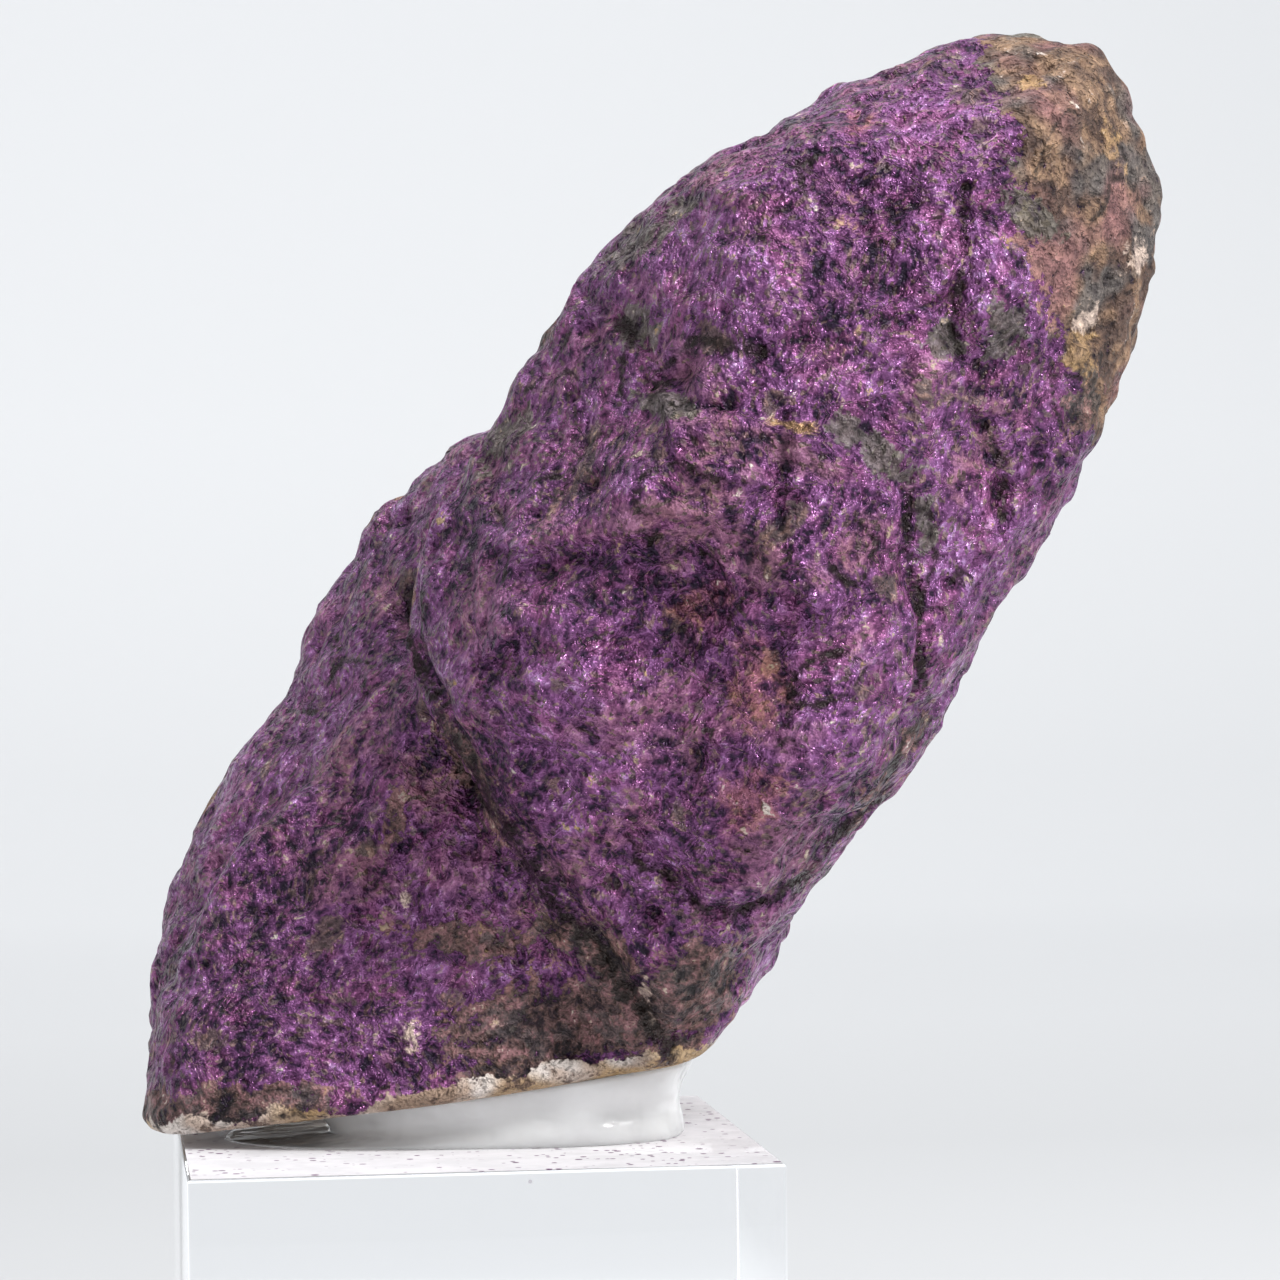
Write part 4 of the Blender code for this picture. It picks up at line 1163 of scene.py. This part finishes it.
@dataclass
class Putty:
    """The pad under the stone: a wedge with a waist and a thin foot spread to the left, lumpy where
    fingers pressed it."""

    left: float = -6.6
    foot_left: float = -10.8
    right: float = 10.3
    front: float = -5.6
    back: float = 8.0
    points_round: int = 220
    rings: int = 80
    finish: PuttyFinish = field(default_factory=PuttyFinish)

    def surface(self, form: StoneForm) -> Array:
        """Works out the pad: an oblong |cos|^0.7, |sin|^0.7 round it, inset by a waisted profile going
        up, whose left end slides from the foot's reach to the waist's.

        Args:
            form: the stone, whose flat end is the pad's top.

        Returns:
            The points: the low pole, the rings and the high pole.
        """
        turn = 2.0 * math.pi * np.arange(self.points_round) / self.points_round
        share = (np.linspace(0.0, 1.0, self.rings) ** 1.3)[:, None]
        waist = 0.55 * np.sin(math.pi * np.clip(share / 0.95, 0, 1)) ** 1.2
        foot = 0.35 * np.exp(-share / 0.05) + 0.25 * np.exp(-(1.0 - share) / 0.03)
        inset = waist + foot
        c, s = np.cos(turn), np.sin(turn)
        left = self.foot_left + (self.left - self.foot_left) * smooth_step(share, 0.06, 0.30)
        across = 0.5 * (self.right - left) - inset
        deep = 0.5 * (self.back - self.front) - inset
        x = 0.5 * (self.right + left) + across * np.sign(c) * np.abs(c) ** 0.7
        y = 0.5 * (self.back + self.front) + deep * np.sign(s) * np.abs(s) ** 0.7
        low = BLOCK_SIDE
        high = form.base_point[2] + form.base_slope * (x - form.base_point[0]) + 0.05
        z = low + share * (high - low)
        points = np.stack([x, y, z], 2).reshape(-1, 3)
        middle = np.array([0.5 * (self.right + self.left), 0.5 * (self.back + self.front), 0.0])
        way = (points - middle) * np.array([1.0, 1.0, 0.0])
        way /= np.linalg.norm(way, axis=1, keepdims=True)
        swing = np.sin(math.pi * np.repeat(share[:, 0], self.points_round))
        push = 0.9 * Noise.swell(points, 4.5, 71)
        push += 0.5 * Noise.swell(points * np.array([1, 1, 1.6]), 2.4, 72)
        points = points + (push * (0.35 + 0.65 * swing))[:, None] * way
        rows = points.reshape(self.rings, self.points_round, 3)
        return np.concatenate([[rows[0].mean(0)], points, [rows[-1].mean(0)]])

    def build(self, form: StoneForm, effects: Effects) -> bpy.types.Object:
        """Makes the piece in place of the CAD pad."""
        faces = ring_faces(self.points_round, self.rings)
        piece = mesh_piece("putty_pad", to_world(self.surface(form)), faces)
        piece.data.materials.append(self.finish.make(effects))
        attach(piece, "root")
        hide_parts("putty")
        return piece


@dataclass(frozen=True)
class AcrylicFinish:
    """Clear polished acrylic with a little fine purple dust."""

    clear: Colour = (0.965, 0.975, 0.985)
    dust: Colour = (0.28, 0.16, 0.26)
    ior: float = 1.49

    def make(self, effects: Effects) -> bpy.types.Material:
        """Builds the material: clear plastic whose colour and roughness carry the dust."""
        material, w, shader, place = start_material("acrylic")
        specks = w.group(effects.specks, {
            "Place": place, "Spacing": 2.6, "Dot": 0.16, "Share": 0.5}).outputs[0]
        w.put(w.mix(w.math("MULTIPLY", specks, 0.6), self.clear, self.dust), shader.inputs["Base Color"])
        w.put(w.math("MULTIPLY_ADD", specks, 0.4, 0.02), shader.inputs["Roughness"])
        shader.inputs["Transmission Weight"].default_value = 1.0
        shader.inputs["IOR"].default_value = self.ior
        return material


@dataclass(frozen=True)
class HazeAndDustFinish:
    """The film on top of the cube: a pale see-through haze that paints the brightness the top face reflects
    and lets through, and purple stone dust.
    """

    painted_haze: Colour = (0.865, 0.845, 0.865)
    dust: Colour = (0.14, 0.055, 0.13)

    def make(self, effects: Effects) -> bpy.types.Material:
        """Builds the material: a see-through painted haze in clouds, with dust specks of two sizes."""
        material, w, shader, place = start_material("dust")
        fine = w.group(effects.specks, {
            "Place": place, "Spacing": 0.40, "Dot": 0.17, "Share": 0.5}).outputs[0]
        coarse = w.group(effects.specks, {
            "Place": place, "Spacing": 1.5, "Dot": 0.22, "Share": 0.25}).outputs[0]
        cloud = w.noise(place, 4.0, 3.0, 0.6)
        dust = w.math("MAXIMUM", w.math("MULTIPLY", fine, w.remap(cloud, 0.38, 0.56)), coarse)
        w.put(w.mix(dust, self.painted_haze, self.dust), shader.inputs["Base Color"])
        # The haze's cover paints brightness over the whole top face, also where the stone's shadow falls on
        # it.
        w.put(w.math("MAXIMUM", w.remap(cloud, 0.35, 0.65, 0.45, 0.60), w.math("MULTIPLY", dust, 0.8)),
              shader.inputs["Alpha"])
        shader.inputs["Roughness"].default_value = 0.9
        return material


@dataclass
class RoundedBox:
    """A square with rounded corners carried up a profile with rounded edges."""

    side: float
    low: float
    high: float
    edge: float
    corner_points: int = 7

    def surface(self) -> Array:
        """Works out the box: u runs round a square with quarter-circle corners, v up a wall that
        curves in by a quarter circle at the bottom and at the top."""
        half, r = 0.5 * self.side, self.edge
        quarter = np.linspace(0.0, math.pi / 2, self.corner_points)
        turns = (np.arange(4)[:, None] * math.pi / 2 + quarter[None, :]).ravel()
        corner = np.repeat(np.array([[1, 1], [-1, 1], [-1, -1], [1, -1]]), self.corner_points, 0)
        inset = np.concatenate([r * (1 - np.sin(quarter)), r * (1 - np.cos(quarter))])
        height = np.concatenate([self.low + r * (1 - np.cos(quarter)), self.high - r * (1 - np.sin(quarter))])
        way = np.stack([np.cos(turns), np.sin(turns)], 1)
        plan = corner * (half - r) + (r - inset[:, None, None]) * way
        points = np.concatenate([plan, np.broadcast_to(height[:, None, None], (*plan.shape[:2], 1))], 2)
        return np.concatenate([[[0.0, 0.0, self.low]], points.reshape(-1, 3), [[0.0, 0.0, self.high]]])

    def mesh(self, name: str, material: bpy.types.Material) -> bpy.types.Object:
        """Makes the box's object with the material it is given, riding on the frame."""
        faces = ring_faces(4 * self.corner_points, 2 * self.corner_points)
        piece = mesh_piece(name, self.surface() * MM, faces)
        piece.data.set_sharp_from_angle(angle=math.radians(35))
        piece.data.materials.append(material)
        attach(piece, "root")
        return piece


@dataclass
class AcrylicBlock:
    """The display cube and the thin film of painted haze and dust on its top."""

    cube: RoundedBox = field(default_factory=lambda: RoundedBox(BLOCK_SIDE, 0.0, BLOCK_SIDE, 0.15))
    film: RoundedBox = field(default_factory=lambda: RoundedBox(
        BLOCK_SIDE - 0.3, BLOCK_SIDE + 0.01, BLOCK_SIDE + 0.03, 0.01, 3))
    finish: AcrylicFinish = field(default_factory=AcrylicFinish)
    dust: HazeAndDustFinish = field(default_factory=HazeAndDustFinish)

    def build(self, effects: Effects) -> list[bpy.types.Object]:
        """Makes the cube in place of the CAD cube, and the film of painted haze and dust on it."""
        cube = self.cube.mesh("clear_cube", self.finish.make(effects))
        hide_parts("block")
        return [cube, self.film.mesh("haze_and_dust_film", self.dust.make(effects))]


@dataclass(frozen=True)
class Lamp:
    """One square soft light: its place and aim in metres, its side and its watts."""

    name: str
    place: tuple[float, float, float]
    aim: tuple[float, float, float]
    size: float
    watts: float

    def build(self) -> None:
        """Adds the light to the scene."""
        light = bpy.data.lights.new(self.name, "AREA")
        light.size, light.energy = self.size, self.watts
        lamp = bpy.data.objects.new(self.name, light)
        lamp.location = self.place
        way = Vector(self.place) - Vector(self.aim)
        lamp.rotation_euler = way.to_track_quat("Z", "Y").to_euler()
        bpy.context.scene.collection.objects.link(lamp)


@dataclass
class Studio:
    """The pale sweep behind and below the specimen, the soft lights and the camera."""

    sweep_colour: Colour = (0.99, 1.0, 1.02)
    shades: tuple[tuple[float, float], ...] = (
        (70.0, 0.82), (105.0, 0.56), (190.0, 0.572), (300.0, 0.68), (452.0, 0.79), (520.0, 0.795),
        (608.0, 0.862), (663.0, 0.868),
    )
    gap: float = 0.05
    floor_front: float = -500.0
    bend_start: float = 420.0
    bend_radius: float = 260.0
    wall_top: float = 900.0
    half_width: float = 900.0
    lamps: tuple[Lamp, ...] = (
        Lamp("key", (0.20, -0.20, 0.36), (0.004, 0.0, 0.045), 0.10, 2.0),
        Lamp("top", (-0.04, 0.02, 0.50), (0.004, 0.0, 0.045), 0.36, 0.75),
        Lamp("backdrop", (0.0, 0.30, 0.75), (0.0, 0.68, 0.10), 0.40, 1.25),
    )
    sky_colour: Colour = (0.965, 0.985, 1.0)
    sky_strength: float = 0.52
    camera_place: tuple[float, float, float] = (-17.03, -190.63, 49.41)
    camera_turn: float = math.radians(7.57)
    camera_pitch: float = math.radians(-0.52)
    camera_roll: float = math.radians(-0.58)
    focal_share: float = 4239.0 / 1280.0
    sensor: float = 36.0

    def build_sweep(self) -> None:
        """Makes the sweep: a profile of floor, quarter circle and wall carried along X."""
        bend = np.linspace(0.0, math.pi / 2, 24)
        radius, back = self.bend_radius, self.bend_start
        y = np.concatenate([[self.floor_front], back + radius * np.sin(bend), [back + radius]])
        z = np.concatenate([[0.0], radius * (1 - np.cos(bend)), [self.wall_top]]) - self.gap
        x = np.linspace(-self.half_width, self.half_width, 9)
        points = np.stack(np.broadcast_arrays(x[None, :], y[:, None], z[:, None]), 2).reshape(-1, 3)
        rows, columns = len(y), len(x)
        i, j = np.meshgrid(np.arange(rows - 1), np.arange(columns - 1), indexing="ij")
        a = (i * columns + j).ravel()
        faces = np.concatenate([np.stack([a, a + 1, a + columns + 1], 1),
                                np.stack([a, a + columns + 1, a + columns], 1)])
        sweep = mesh_piece("pale_sweep", points * MM, faces)
        material, w, shader, place = start_material("sweep")
        away = w.node("ShaderNodeSeparateXYZ", {"Vector": place}).outputs["Y"]
        w.put(w.ramp(w.math("MULTIPLY", away, 0.001), [
            (stop / 1000.0, tuple(share * c for c in self.sweep_colour)) for stop, share in self.shades]),
            shader.inputs["Base Color"])
        shader.inputs["Roughness"].default_value = 0.9
        shader.inputs["Specular IOR Level"].default_value = 0.1
        sweep.data.materials.append(material)

    def build_camera(self) -> None:
        """Adds the camera with the photo's place, turn, pitch, roll and lens."""
        lens = bpy.data.cameras.new("camera")
        lens.sensor_width, lens.lens = self.sensor, self.sensor * self.focal_share
        lens.clip_start, lens.clip_end = 0.005, 20.0
        camera = bpy.data.objects.new("camera", lens)
        turn = Matrix.Rotation(-self.camera_turn, 4, "Z")
        look = Matrix.Rotation(math.pi / 2 + self.camera_pitch, 4, "X")
        roll = Matrix.Rotation(self.camera_roll, 4, "Z")
        camera.matrix_world = Matrix.Translation([MM * c for c in self.camera_place]) @ turn @ look @ roll
        bpy.context.scene.collection.objects.link(camera)
        bpy.context.scene.camera = camera

    def build(self) -> None:
        """Builds the sweep, the lights, the sky and the camera."""
        self.build_sweep()
        for lamp in self.lamps:
            lamp.build()
        sky = bpy.data.worlds.new("studio")
        sky.use_nodes = True
        background = sky.node_tree.nodes["Background"]
        background.inputs["Color"].default_value = (*self.sky_colour, 1.0)
        background.inputs["Strength"].default_value = self.sky_strength
        bpy.context.scene.world = sky
        bpy.context.scene.view_settings.view_transform = "Standard"
        self.build_camera()


def main() -> None:
    """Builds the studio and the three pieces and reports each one."""
    logging.basicConfig(level=logging.INFO, format="%(message)s")
    Studio().build()
    effects = Effects()
    stone = Specimen()
    pieces = AcrylicBlock().build(effects)
    pieces += [Putty().build(stone.form, effects), stone.build(effects)]
    for piece in pieces:
        LOG.info("%s: %d triangles", piece.name, len(piece.data.polygons))


if __name__ == "__main__":
    main()
